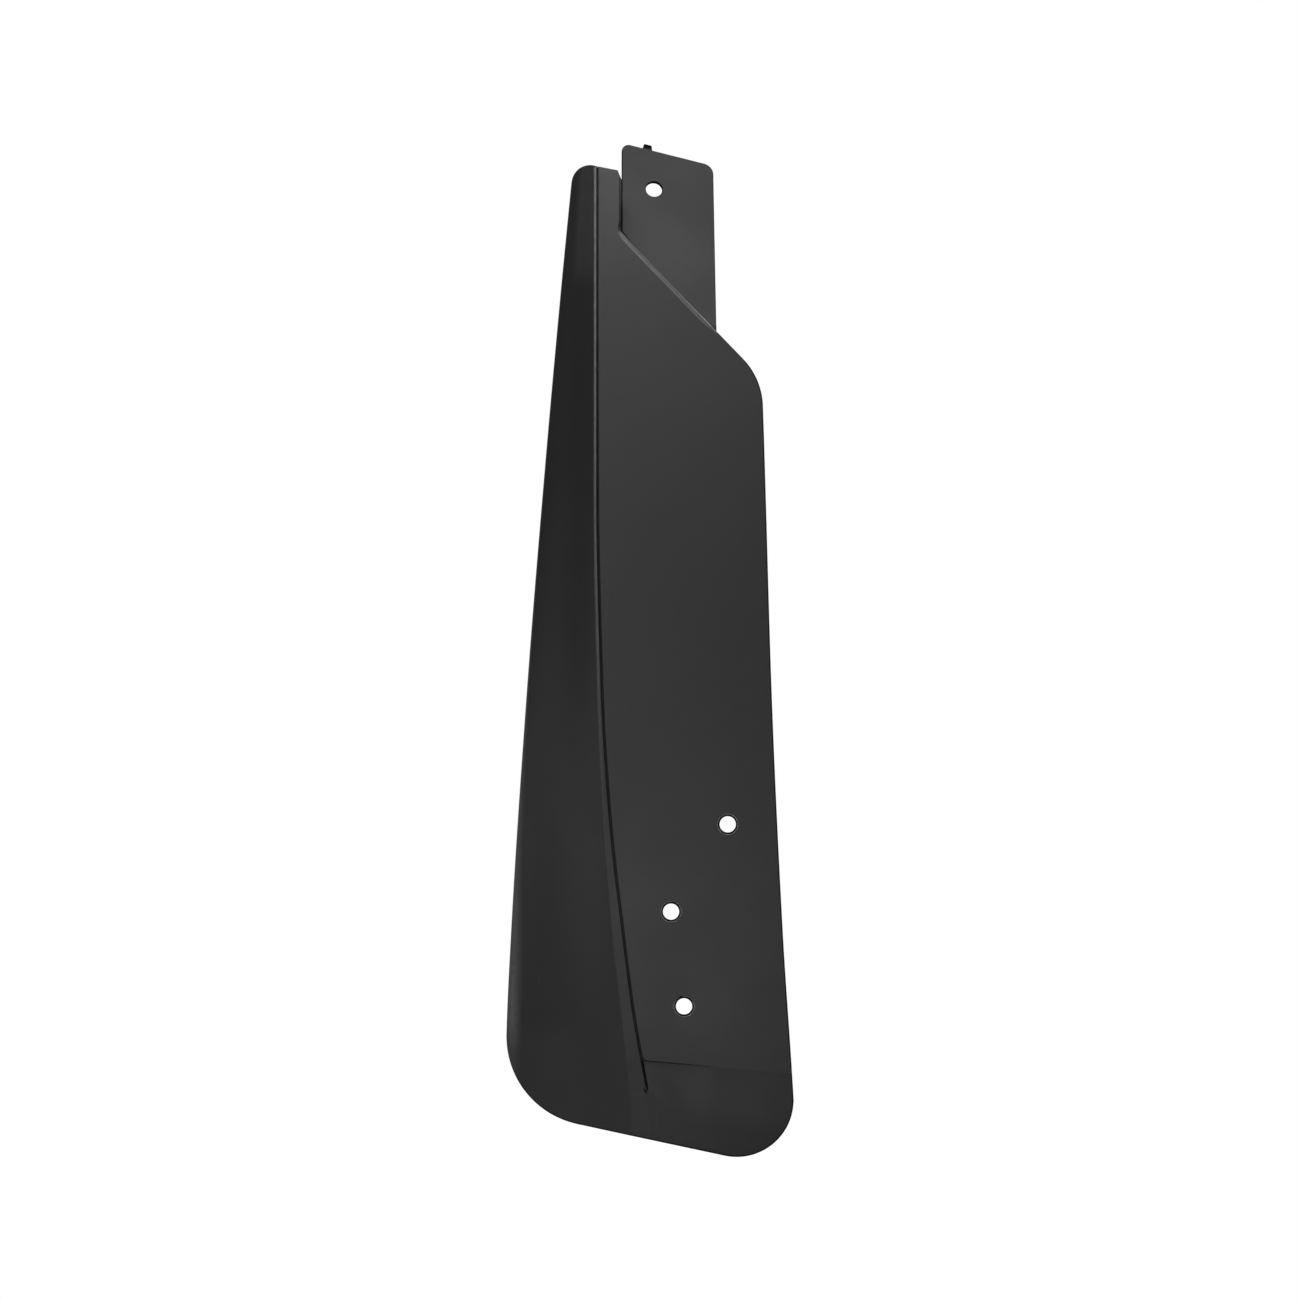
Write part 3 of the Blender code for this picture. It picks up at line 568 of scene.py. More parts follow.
def wing_surface(z, back):
    """Wing points at heights z (rows, columns): its front face or its back face."""
    fold, radius, (roll_x, roll_y), (centre_x, centre_y) = edge_roll(z)
    start_x, rim_y, corner_x, bend = rim_section(z, fold, back)
    tangent = np.minimum(bend * np.tan(fold / 2), 0.9 * np.maximum(start_x - corner_x, 0.02))
    bend = tangent / np.tan(fold / 2)
    skin = GUARD_THICK if back else 0.0
    reach = radius - skin
    roll_end = np.radians(EDGE_ROLL(z))
    x = np.empty_like(z)
    y = np.empty_like(z)
    rim, crest, face, roll, flange = WING_PARTS

    x[:, rim] = mix(start_x[:, rim], (corner_x + tangent)[:, rim], RIM_COLUMNS)
    y[:, rim] = rim_y[:, rim]

    angle = fold[:, crest] * CREST_COLUMNS
    x[:, crest] = (corner_x + tangent)[:, crest] - bend[:, crest] * np.sin(angle)
    y[:, crest] = rim_y[:, crest] + bend[:, crest] * (1 - np.cos(angle))

    first_x = (corner_x - tangent * np.cos(fold))[:, face]
    first_y = (rim_y + tangent * np.sin(fold))[:, face]
    last_x = (roll_x + np.sin(fold) * skin)[:, face]
    last_y = (roll_y + np.cos(fold) * skin)[:, face]
    hollow = WING_HOLLOW(z[:, face]) * np.sin(math.pi * FACE_COLUMNS) ** 2
    x[:, face] = mix(first_x, last_x, FACE_COLUMNS) + np.sin(fold[:, face]) * hollow
    y[:, face] = mix(first_y, last_y, FACE_COLUMNS) + np.cos(fold[:, face]) * hollow

    angle = mix(fold[:, roll], roll_end[:, roll], ROLL_COLUMNS)
    x[:, roll] = centre_x[:, roll] - np.sin(angle) * reach[:, roll]
    y[:, roll] = centre_y[:, roll] - np.cos(angle) * reach[:, roll]

    angle = roll_end[:, flange]
    length = np.maximum(FLANGE_LENGTH(z) - MOULD_EDGE, 0.05)[:, flange] * FLANGE_COLUMNS
    x[:, flange] = centre_x[:, flange] - np.sin(angle) * reach[:, flange] - np.cos(angle) * length
    y[:, flange] = centre_y[:, flange] - np.cos(angle) * reach[:, flange] + np.sin(angle) * length
    return np.stack([x, y, z], axis=-1)


def meet(surface, limit, inside, outside):
    """Height at which each column of a surface crosses the outline limit(x)."""
    rising = np.sign(inside - outside)
    inside = np.full(surface.columns, float(inside))
    outside = np.full(surface.columns, float(outside))
    for _ in range(HALVINGS):
        middle = (inside + outside) / 2
        x = surface(middle[None])[0, :, 0]
        within = rising * (middle - limit(x)) > 0
        inside = np.where(within, middle, inside)
        outside = np.where(within, outside, middle)
    return inside


class Surface:
    """Front or back face of a sheet, which gives the points at rows of heights, one a column."""

    def __init__(self, shape, back, columns):
        self.shape = shape
        self.back = back
        self.columns = columns

    def __call__(self, z):
        return self.shape(z, self.back)


def moved_in(surface, z, inset, sign):
    """Heights moved inwards until they are inset from the border, measured on the surface."""
    here = surface(z[None])[0]
    ahead = unit(surface((z + sign)[None])[0] - here)
    run = unit(np.gradient(here, axis=0))
    sine = np.linalg.norm(np.cross(run, ahead), axis=-1)
    return z + sign * np.minimum(inset / np.maximum(sine, 1e-3), 2.6 * inset)


class Corner:
    """Straight edge of the front view with a round corner at x, where a side from a point meets it."""

    def __init__(self, edge, x, beside, radius, up, side):
        self.edge = edge
        self.radius = radius
        self.up = up
        self.side = side
        along_x = x - side * 50
        along = (along_x, edge_z(edge, along_x))
        self.centre, _ = fillet_centre((x, edge_z(edge, x)), beside, along, radius)

    def __call__(self, x, inset=0.0):
        fall = self.edge[1]
        stretch = math.hypot(1, fall)
        line = edge_z(self.edge, x) - self.up * inset * stretch
        radius = self.radius - inset
        touch_x = self.centre.x - self.up * fall / stretch * radius
        arc = self.centre.y + self.up * np.sqrt(np.maximum(radius ** 2 - (x - self.centre.x) ** 2, 0.0))
        return np.where(self.side * (x - touch_x) > 0, arc, line)


def wing_painted_highlights(height):
    """Painted highlights on the wing's front: paler along the rim and the fold beside the seam, along the
    roll of the outer edge, and in a band near the top.
    """
    rim, crest, face, roll, _ = WING_PARTS
    painted_light_and_wear = np.zeros(height.shape)
    painted_light_and_wear[:, rim] = mix(0.06, 0.8, ease(height[:, rim], 170, 370))
    along = mix(0.06, 0.9, ease(height[:, crest], 100, 360)) * ease(height[:, crest], 40, 80)
    painted_light_and_wear[:, crest] = along * (1 - CREST_COLUMNS ** 4)
    painted_light_and_wear[:, face] = 0.2 * ease(height[:, face], 426, 442) * ease(FACE_COLUMNS, 0.8, 0.55)
    along = mix(0.9, 0.55, ease(height[:, roll], 200, 320)) * ease(height[:, roll], 45, 75)
    painted_light_and_wear[:, roll] = along * ease(ROLL_COLUMNS, 0, 0.45) * ease(ROLL_COLUMNS, 1, 0.7)
    return painted_light_and_wear


def make_wing():
    top = Corner(TOP_EDGE, LEFT_EDGE(490), (LEFT_EDGE(450), 450), WING_CORNER_TOP, 1, -1)
    low = Corner(BOTTOM_EDGE, LEFT_EDGE(20), (LEFT_EDGE(60), 60), WING_CORNER_BOTTOM, -1, -1)
    rows = np.concatenate([np.linspace(0, 0.15, 41)[:-1], np.linspace(0.15, 1, 86)])
    grids = []
    for back in (False, True):
        surface = Surface(wing_surface, back, WING_STARTS[-1])
        foot = moved_in(surface, meet(surface, low, 110, -14), MOULD_EDGE, 1)
        head = moved_in(surface, meet(surface, top, 380, 500), MOULD_EDGE, -1)
        grids.append(surface(mix(foot[None], head[None], rows[:, None])))
    front, back = grids
    plain = (MOULD_EDGE, MOULD_EDGE, MOULD_EDGE)
    corner = rim_corner(front[:, 0, 2])
    return thick_sheet(front, back, (*plain, corner), (*plain, 0.0), wing_painted_highlights(front[:, :, 2]))


# ---- guard: lip and sheet

LIP_COLUMNS = np.concatenate([[0, 0.005, 0.008, 0.011, 0.014, 0.018, 0.024],
                              1 - (1 - np.linspace(0.02, 1, 62)) ** 1.8])


def groove(x, z):
    """Depth of the narrow slot that carries the seam on below the plate."""
    beside = 1 - ease(x - SEAM(z) + SEAM_HALF_GAP, 0.55, 1.0)
    return GROOVE_DEPTH * beside * ease(z, GROOVE_END, GROOVE_END + 5)


def lip_surface(z, back):
    left = SEAM(z) - SEAM_HALF_GAP
    x = mix(left, RIGHT_EDGE(z) - MOULD_EDGE, LIP_COLUMNS)
    y = lip_back(x, z) if back else lip_front(x, z) + groove(x, z)
    return np.stack([x, y, z], axis=-1)


def step_gap(x):
    """Slit between the plate and the lip, which closes where they come level."""
    return STEP_GAP * (1 - lip_level(x))


def make_lip():
    step_end = (STEP_RIGHT_X, edge_z(STEP_EDGE, STEP_RIGHT_X))
    low = Corner(BOTTOM_EDGE, LIP_CORNER_X, step_end, LIP_CORNER, -1, 1)
    rows = np.linspace(0, 1, 56)[:, None]
    grids = []
    for back in (False, True):
        surface = Surface(lip_surface, back, len(LIP_COLUMNS))
        foot = meet(surface, lambda x: low(x, MOULD_EDGE), 38, -20)
        head = meet(surface, lambda x: edge_z(STEP_EDGE, x) - step_gap(x), 20, 60)
        grids.append(surface(mix(foot[None], head[None], rows)))
    front, back = grids
    front_radii = (MOULD_EDGE, MOULD_EDGE, STEP_SOFTENING * (1 - lip_level(front[-1, :, 0])), 0.0)
    # The slot beside the seam is painted dark, a painted shade in the groove.
    painted_light_and_wear = -0.9 * ease(groove(front[..., 0], front[..., 2]), 0, 0.3 * GROOVE_DEPTH)
    return thick_sheet(front, back, front_radii, (MOULD_EDGE, MOULD_EDGE, 0.0, 0.0), painted_light_and_wear)


def shoulder_line(inset):
    """The diagonal shoulder's two ends, moved inwards from the plate's edge."""
    start, end = Vector(SHOULDER_START), Vector(SHOULDER_END)
    inwards = Vector((end.y - start.y, start.x - end.x)).normalized()
    return start + inwards * inset, end + inwards * inset


def shoulder_outline(inset):
    """Shoulder and its rounded outer corner, from the strip's foot down."""
    start, end = shoulder_line(inset)
    foot_x = SHOULDER_START[0] - inset
    slope = (end.y - start.y) / (end.x - start.x)
    foot = (foot_x, start.y + slope * (foot_x - start.x))
    below = (RIGHT_EDGE(340) - inset, 340)
    return [foot] + fillet((end.x, end.y), foot, below, SHOULDER_RADIUS - inset, 24)


def right_side(z_from, z_to, inset):
    return [(RIGHT_EDGE(z) - inset, z) for z in np.linspace(z_from, z_to, SIDE_POINTS)]


def seam_side(z_from, z_to, shift):
    return [(SEAM(z) + shift, z) for z in np.linspace(z_from, z_to, SEAM_POINTS)]


def boss_places():
    """Centres of the plate's screw bosses, read from the CAD screws' boxes."""
    places = []
    for name in sorted(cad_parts):
        if name.startswith(("plate_screw", "bracket_screw")):
            low, high = (Vector(corner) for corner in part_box(name))
            middle = ((low + high) / 2 - SHIFT) / MM
            places.append((middle.x, middle.z))
    return places


def make_sheet():
    """Flat part of the guard behind the plate."""
    top_x = SHOULDER_START[0] - SHEET_INSET
    rim_x = SEAM_TOP_X - SEAM_HALF_GAP
    foot_x = SEAM_FOOT_X - SEAM_HALF_GAP
    outline = [(rim_x, edge_z(TOP_EDGE, rim_x) - 0.2), (top_x, edge_z(TOP_EDGE, top_x) - 0.4)]
    outline += shoulder_outline(SHEET_INSET)
    outline += right_side(350, edge_z(STEP_EDGE, STEP_RIGHT_X), PLATE_RIGHT_MARGIN)
    outline += [(x, edge_z(STEP_EDGE, x) - step_gap(x)) for x in np.linspace(66, foot_x + 1, 30)]
    outline += seam_side(edge_z(STEP_EDGE, foot_x) - GAP, 478, -SEAM_HALF_GAP)

    def radius(points):
        x, z = points.T
        joined = (z < edge_z(STEP_EDGE, x) + 2) | (np.abs(x - SEAM(z) + SEAM_HALF_GAP) < 0.2)
        return np.where(joined, 0.0, SHEET_EDGE)

    holes = [circle(x, z, SLEEVE_OUTER + GAP) for x, z in MOUNT_HOLES.values()]
    holes += [circle(x, z, BOSS_RADIUS + GAP, 36) for x, z in boss_places()]
    return plain_slab(outline, holes, radius, SHEET_FRONT, SHEET_BACK)


# ---- plate

def tab_depth(x, z):
    """Depth of the leaning leaf's front face behind a point of the front view."""
    start, end = Vector(BEND_START), Vector(BEND_END)
    uphill = Vector((start.y - end.y, end.x - start.x)).normalized()
    rise = (Vector((x, z)) - start).dot(uphill)
    return BRACKET_FRONT + max(0.0, rise) * math.tan(LEAN)


def plate_outline():
    top_x = SEAM_TOP_X + SEAM_HALF_GAP
    outline = [(top_x - SEAM_NARROWING, edge_z(TOP_EDGE, top_x)), STRIP_CORNER, STRIP_CHAMFER_END]
    outline += shoulder_outline(0.0)
    outline += right_side(355, edge_z(STEP_EDGE, STEP_RIGHT_X), 0.0)
    foot_x = SEAM_FOOT_X + SEAM_HALF_GAP
    foot = (foot_x, edge_z(STEP_EDGE, foot_x))
    beside = (foot_x + 20, edge_z(STEP_EDGE, foot_x + 20))
    above = (SEAM(60) + SEAM_HALF_GAP, 60)
    outline += fillet(foot, beside, above, PLATE_CORNER, 8)
    outline += [(x - SEAM_NARROWING * ease(z, 300, 420), z) for x, z in seam_side(60, 470, SEAM_HALF_GAP)]
    return dense(outline, 2.5)


def plate_zones(outline):
    """Place along the shoulder, and which points lie on the shoulder, strip, step and right side."""
    x, z = outline.T
    along = (x - SHOULDER_START[0]) / (SHOULDER_END[0] - SHOULDER_START[0])
    shoulder_z = mix(SHOULDER_START[1], SHOULDER_END[1], along)
    on_shoulder = (np.abs(z - shoulder_z) < 0.3) & (along > -0.01) & (along < 0.97)
    beside_strip = (x > SHOULDER_START[0] - 0.3) & (x < STRIP_CHAMFER_END[0] + 0.3)
    on_strip = beside_strip & (z > SHOULDER_START[1] - 0.2)
    on_step = np.abs(z - edge_z(STEP_EDGE, x)) < 0.05
    on_right = (x > RIGHT_EDGE(z) - 8) & (z < 420)
    return along, on_shoulder, on_strip, on_step, on_right


def flange_section(along, on_shoulder):
    """Edge turned back along the strip and the shoulder: (outwards, depth) of each row."""
    stop = [mix(a, b, SHOULDER_FLANGE_END) for a, b in zip(SHOULDER_START, SHOULDER_END)]
    first, last = (tab_depth(*place) - FLANGE_CLEARANCE for place in (SHOULDER_START, stop))
    depth = mix(first, last, np.clip(along / SHOULDER_FLANGE_END, 0, 1))
    lean = FLANGE_DRAFT * (depth - PLATE_THICK) - 0.5
    lean = np.where(on_shoulder, mix(lean, np.minimum(lean, 0.2), ease(along, 0, 0.12)), lean)
    inner = lean - FLANGE_WALL
    lip = 0.7
    return [(lean / 2, depth / 2), (lean, depth - lip), (lean - 0.3 * lip, depth - 0.3 * lip),
            (lean - lip, depth), (inner + lip, depth), (inner + 0.3 * lip, depth - 0.3 * lip),
            (inner, depth - lip), (-2.5, PLATE_THICK + 0.6), (-3.1, PLATE_THICK)]


def flat_section(spread):
    """The same rows where nothing is turned back, the last ones drawn out over the back."""
    edge = FINE_EDGE
    rows = [(0, 0.5 * PLATE_THICK), (0, PLATE_THICK - edge),
            (-0.3 * edge, PLATE_THICK - 0.3 * edge), (-edge, PLATE_THICK)]
    return rows + [(-edge - spread * reach, PLATE_THICK) for reach in (0.6, 1.2, 1.7, 2.2, 2.8)]


def plate_edge(outline):
    """Rows round the plate's edge, turned back along the strip and the shoulder, and their painted
    highlights and shade.
    """
    x, z = outline.T
    along, on_shoulder, on_strip, on_step, on_right = plate_zones(outline)
    level = lip_level(x)
    turned_back = np.where(on_shoulder, ease(along, SHOULDER_FLANGE_END, SHOULDER_FLANGE_FADES), 0.0)
    top = STRIP_CHAMFER_END[1]
    turned_back = np.where(on_strip, ease(z, top, top - 2), turned_back)
    rolled = mix(0.4, 1.0, ease(along, 0, 0.06)) * ease(along, 0.72, SHOULDER_FLANGE_FADES)
    rolled = np.where(on_shoulder, rolled, 0.0)
    radii = mix(PLATE_EDGE, ROLLED_EDGE, rolled)
    radii = np.where(on_right, MOULD_EDGE, radii)
    radii = np.where(on_step, STEP_SOFTENING * (1 - level), radii)

    rows = rounded_rows(outline, radii, 0.0, 1, 6)
    out = outline_reach(outline, np.ones(len(outline)))
    least_y = np.maximum(radii, np.roll(radii, 1))
    flange = flange_section(along, on_shoulder)
    flat = flat_section(ease(turned_back, 0, 0.25))
    for (flange_u, flange_y), (flat_u, flat_y) in zip(flange, flat):
        u = mix(flat_u, flange_u, turned_back)
        y = np.maximum(mix(flat_y, flange_y, turned_back), least_y)
        rows.append(np.stack([outline[:, 0] + out[:, 0] * u, y, outline[:, 1] + out[:, 1] * u], axis=-1))

    # Edge colour: the right side and other edges are painted darker as painted shade lines, the strip's side
    # near black as painted shade in the recess, and the step edge and rolled shoulder paler as painted
    # highlights.
    edge_painted_light = np.where(on_right, -0.8, -0.3)
    edge_painted_light = np.where(on_step, 0.7 * ease(level, 0.8, 0.3), edge_painted_light)
    edge_painted_light = np.where(on_strip, -0.9, edge_painted_light)
    edge_painted_light = np.where(on_shoulder, mix(edge_painted_light, 0.9, ease(rolled, 0, 0.5)), edge_painted_light)
    painted_light_and_wear = np.zeros((len(rows), len(outline)))
    painted_light_and_wear[1:6] = edge_painted_light
    painted_light_and_wear[6] = np.where(on_strip | on_shoulder, edge_painted_light * 0.5, edge_painted_light)
    # The flange wall behind the strip and the shoulder is painted near black, a painted shade; the other
    # rows over the back are painted a little darker.
    painted_light_and_wear[7:] = np.where(on_strip | on_shoulder, -1.0, -0.3)
    return rows, painted_light_and_wear


def make_plate():
    rows, painted_light_and_wear = plate_edge(turned_way(plate_outline(), True))
    profiles, painted_lights_and_wears = [rows], [painted_light_and_wear]
    for x, z in MOUNT_HOLES.values():
        hole = turned_way(circle(x, z, SLEEVE_OUTER + 0.05), False)
        profiles.append(plain_profile(hole, np.full(len(hole), 0.25), 0.0, PLATE_THICK))
        # Each mounting hole's edge is painted dark, a painted shade ring.
        painted_lights_and_wears.append(-0.8)
    solids = [slab(profiles, painted_lights_and_wears)]
    for x, z in boss_places():
        root = PLATE_THICK - 0.4
        ring = [(BOSS_RADIUS, root), (BOSS_RADIUS, SHEET_BACK - 0.4), (BOSS_RADIUS - 0.4, SHEET_BACK),
                (PILOT_RADIUS + 0.2, SHEET_BACK), (PILOT_RADIUS, SHEET_BACK - 0.3), (PILOT_RADIUS, root)]
        solids.append(turned(ring, x, z, 36))
    return solids


# ---- bracket

def upright(point):
    """A point of the front view as a vector."""
    return Vector((point[0], 0, point[1]))


class BracketFrame:
    """Maps (along the bend, up the leaf, through the leaf) to the bent bracket."""

    def __init__(self):
        self.back = Vector((0, 1, 0))
        self.origin = upright(BEND_START) + self.back * BRACKET_FRONT
        self.bend = (upright(BEND_END) - upright(BEND_START)).normalized()
        self.up = Vector((-self.bend.z, 0, self.bend.x))
        self.arc = BEND_RADIUS * LEAN

    def station(self, rise):
        turn = min(max(rise / self.arc, 0.0), 1.0) * LEAN
        point = self.origin + self.up * min(rise, 0.0)
        point += self.up * (BEND_RADIUS * math.sin(turn)) + self.back * (BEND_RADIUS * (1 - math.cos(turn)))
        tangent = self.up * math.cos(turn) + self.back * math.sin(turn)
        normal = self.back * math.cos(turn) - self.up * math.sin(turn)
        return point + tangent * max(rise - self.arc, 0.0), normal

    def bent(self, co):
        point, normal = self.station(co.z)
        return point + self.bend * co.x + normal * co.y

    def flat(self, x, z):
        """Position on the unbent leaf of a point of the front view."""
        height = (upright((x, z)) - upright(BEND_START)).dot(self.up)
        rise = height
        if height > BEND_RADIUS * math.sin(LEAN):
            rise = self.arc + (height - BEND_RADIUS * math.sin(LEAN)) / math.cos(LEAN)
        return self.beside(x, rise), rise

    def beside(self, x, rise):
        """Distance along the bend at which the leaf's front reaches x of the front view."""
        return (x - self.station(rise)[0].x) / self.bend.x


def make_bracket():
    leaf = BracketFrame()

    def right(rise):
        x = TAB_RIGHT(leaf.station(rise)[0].z - 10)
        return leaf.beside(x, rise), rise

    def left(rise):
        return leaf.beside(TAB_LEFT_X, rise), rise

    foot, top = -LEAF_DROP, TAB_RISE
    outline = fillet(left(foot), left(foot + 20), right(foot), LEAF_CORNER, 10)
    outline += fillet(right(foot), left(foot), right(foot + 20), LEAF_CORNER, 10)
    outline += [right(rise) for rise in np.linspace(-50, 78, 30)]
    outline += fillet(right(top), right(top - 10), left(top), LEAF_CORNER, 10)
    outline += [(leaf.beside(x, top + up), top + up) for x, up in LUG_SHAPE[::-1]]
    outline += fillet(left(top), right(top), left(top - 10), TAB_CORNER, 8)
    outline += [left(rise) for rise in np.linspace(80, -50, 30)]
    outline = dense(outline, 2.5)
    holes = [circle(*leaf.flat(*TAB_HOLE_AT), TAB_HOLE_RADIUS, 64)]
    holes += [circle(*leaf.flat(x, z), WASHER_HOLE, 32) for x, z in BRACKET_SCREWS]
    # The bracket's edges and hole walls are painted dark, a painted shade line round them.
    bm = plain_slab(outline, holes, SHEET_EDGE, 0.0, BRACKET_THICK, 0.35, painted_light_and_wear=-0.9).bmesh()
    layer = bm.verts.layers.float["painted_light_and_wear"]
    # The lug above the leaf's top is painted black, a painted shade on the nub.
    for vert in bm.verts:
        if vert.co.z > TAB_RISE + 0.2:
            vert[layer] = -1.0
    for rise in [-1.5] + list(np.linspace(0, leaf.arc, 9)) + [leaf.arc + 1.5]:
        bmesh.ops.bisect_plane(bm, geom=bm.verts[:] + bm.edges[:] + bm.faces[:], dist=1e-4,
                               plane_co=(0, 0, rise), plane_no=(0, 0, 1))
    for face in bm.faces:
        if -1.6 < face.calc_center_median().z < leaf.arc + 1.6:
            face.smooth = True
    for vert in bm.verts:
        vert.co = leaf.bent(vert.co)
    return bm


# ---- sleeves, fixings and seal

def box_axis(node):
    """Centre line (x, z), front y, back y and radius of a turned CAD node, in drawing mm."""
    low, high = ((Vector(corner) - SHIFT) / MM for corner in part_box(node))
    return (low.x + high.x) / 2, (low.z + high.z) / 2, low.y, high.y, (high.x - low.x) / 2


def ring_profile(outer, inner, front, back, edge):
    """Section of a flat ring with softened corners, as (radius, y) points."""
    half = [(outer, front + edge), (outer - 0.3 * edge, front + 0.3 * edge), (outer - edge, front),
            (inner + edge, front), (inner + 0.3 * edge, front + 0.3 * edge), (inner, front + edge)]
    return half + [(radius, front + back - y) for radius, y in half[::-1]]


def make_sleeve(node):
    x, z, front, back, outer = box_axis(node)
    # The whole sleeve is painted darker, a painted shade in the hole.
    return turned(ring_profile(outer, SLEEVE_INNER, front, back, 0.22), x, z, 64, -0.7)


def make_washer(node):
    x, z, front, back, outer = box_axis(node)
    return turned(ring_profile(outer, WASHER_HOLE, front, back, 0.2), x, z, 48)


def capped(rows):
    """Body that runs through rows of points, with a flat face at each end."""
    solid = Solid()
    ids = solid.add(rows)
    solid.weave(ids, closed=True)
    solid.flat_faces += [ids[0].tolist(), ids[-1].tolist()]
    return solid


def thread_rows(tip, end, turns):
    """Threaded shank as (radii, y) rows: a ridge winding round a core, thinner at the tip."""
    core, crest, pitch = 1.28, 1.7, 1.0
    rows = []
    for y in np.arange(tip, end, 0.125):
        phase = (y / pitch - turns / (2 * math.pi)) % 1.0
        ridge = np.clip(1.5 - 3 * np.abs(phase - 0.5), 0, 1)
        taper = min(1.0, 0.25 + (y - tip) / 1.6)
        rows.append((mix(core, crest, ridge) * taper, y))
    return rows


def make_screw(node):
    """Pan-head screw with a hexagon socket and a thread, its head to the back."""
    x, z, tip, top, head_radius = box_axis(node)
    head_height, socket = 2.4, 1.6
    under = top - head_height
    turns = full_turn(36)
    even = np.ones(len(turns))
    hexagon = math.cos(math.pi / 6) / np.cos((turns % (math.pi / 3)) - math.pi / 6)
    neck = [(1.45, -0.2), (1.6, 0.0), (head_radius - 0.15, 0.0)]
    dome = [(1.0, 0.15), (1.0, 0.9), (0.985, 1.2), (0.95, 1.5), (0.89, 1.78), (0.8, 2.02), (0.7, 2.2),
            (0.6, 2.32), (0.52, 2.38), (0.48, head_height)]
    rows = thread_rows(tip, under - 0.35, turns)
    rows += [(radius * even, under + height) for radius, height in neck]
    rows += [(head_radius * share * even, under + height) for share, height in dome]
    rows += [((socket + 0.1) * hexagon, top), (socket * hexagon, top - 0.12), (socket * hexagon, top - 1.2),
             (0.3 * even, top - 1.55)]
    return capped(rings(rows, x, z, turns))


def seal_section(z):
    """Rounded channel section pushed over the end of the guard's return flange."""
    _, radius, _, centre = edge_roll(z)
    roll = math.radians(EDGE_ROLL(z))
    arm = Vector((-math.sin(roll), -math.cos(roll)))
    run = Vector((-math.cos(roll), math.sin(roll)))
    root = Vector(centre) + arm * float(radius)
    outside = -(GAP + SEAL_WALL)
    inside = GUARD_THICK + GAP + SEAL_WALL
    mouth = FLANGE_LENGTH(z) - SEAL_GRIP
    floor = FLANGE_LENGTH(z) + GAP
    end = floor + SEAL_WALL
    channel = [(mouth, outside), (end, outside), (end, inside), (mouth, inside), (mouth, inside - SEAL_WALL),
               (floor, inside - SEAL_WALL), (floor, -GAP), (mouth, -GAP)]
    rounds = (0.5, 1.1, 1.1, 0.5, 0.5, 0.3, 0.3, 0.5)
    section = []
    for k, corner in enumerate(channel):
        section += fillet(corner, channel[k - 1], channel[(k + 1) % 8], rounds[k], 4)
    points = [root + run * a - arm * b for a, b in section]
    return [(point.x, point.y, z) for point in points]


def make_seal():
    return capped(np.array([seal_section(z) for z in np.linspace(SEAL_FROM, SEAL_TO, 72)]))


# ---- materials

class Finish:
    """Node material built on a Principled shader, in the frame's own metres."""

    def __init__(self, name):
        self.material = bpy.data.materials.new(name)
        self.material.use_nodes = True
        self.tree = self.material.node_tree
        self.shader = self.tree.nodes["Principled BSDF"]
        self.place = self.tree.nodes.new("ShaderNodeTexCoord").outputs["Object"]

    def feed(self, socket, value):
        """Links a node's output to a socket, or sets the socket to a plain value."""
        if isinstance(value, bpy.types.NodeSocket):
            self.tree.links.new(value, socket)
        else:
            socket.default_value = value

    def drive(self, name, value):
        self.feed(self.shader.inputs[name], value)

    def node(self, kind, **values):
        node = self.tree.nodes.new(kind)
        for key, value in values.items():
            if hasattr(node, key):
                setattr(node, key, value)
            else:
                node.inputs[key.replace("_", " ")].default_value = value
        return node

    def stretched(self, scale, turn=(0.0, 0.0, 0.0)):
        mapping = self.node("ShaderNodeMapping", Scale=scale, Rotation=turn)
        self.feed(mapping.inputs["Vector"], self.place)
        return mapping.outputs["Vector"]

    def noise(self, scale, detail=3.0, roughness=0.55, place=None):
        node = self.node("ShaderNodeTexNoise", Scale=scale, Detail=detail, Roughness=roughness)
        self.feed(node.inputs["Vector"], place or self.place)
        return node.outputs["Fac"]

    def ramp(self, source, low, high, to_low=0.0, to_high=1.0):
        node = self.node("ShaderNodeMapRange", clamp=True)
        limits = {"Value": source, "From Min": low, "From Max": high, "To Min": to_low, "To Max": to_high}
        for key, value in limits.items():
            self.feed(node.inputs[key], value)
        return node.outputs["Result"]

    def math(self, operation, a, b):
        node = self.node("ShaderNodeMath", operation=operation)
        for socket, value in zip(node.inputs, (a, b)):
            self.feed(socket, value)
        return node.outputs[0]

    def times(self, a, b):
        return self.math("MULTIPLY", a, b)

    def blend(self, factor, a, b):
        node = self.node("ShaderNodeMix", data_type="RGBA")
        colours = [socket for socket in node.inputs if socket.type == "RGBA"]
        for socket, value in zip([node.inputs["Factor"], *colours], (factor, a, b)):
            self.feed(socket, value)
        return [socket for socket in node.outputs if socket.type == "RGBA"][0]

    def bump(self, height, strength, distance, below=None):
        node = self.node("ShaderNodeBump", Strength=strength, Distance=distance)
        self.feed(node.inputs["Height"], height)
        if below:
            self.feed(node.inputs["Normal"], below)
        return node.outputs["Normal"]

    def painted_light_and_wear(self):
        """How pale a place is painted, for painted highlights and wear, and how dark, for painted shade."""
        value = self.node("ShaderNodeAttribute", attribute_name="painted_light_and_wear").outputs["Fac"]
        return self.ramp(value, 0.0, 1.0), self.ramp(value, 0.0, -1.0)


# Near-black colour that painted shade blends towards.
PAINTED_SHADE_TONE = 0.002


def grey(value, warm=1.0):
    return (value * warm, value, value / warm ** 0.5, 1.0)


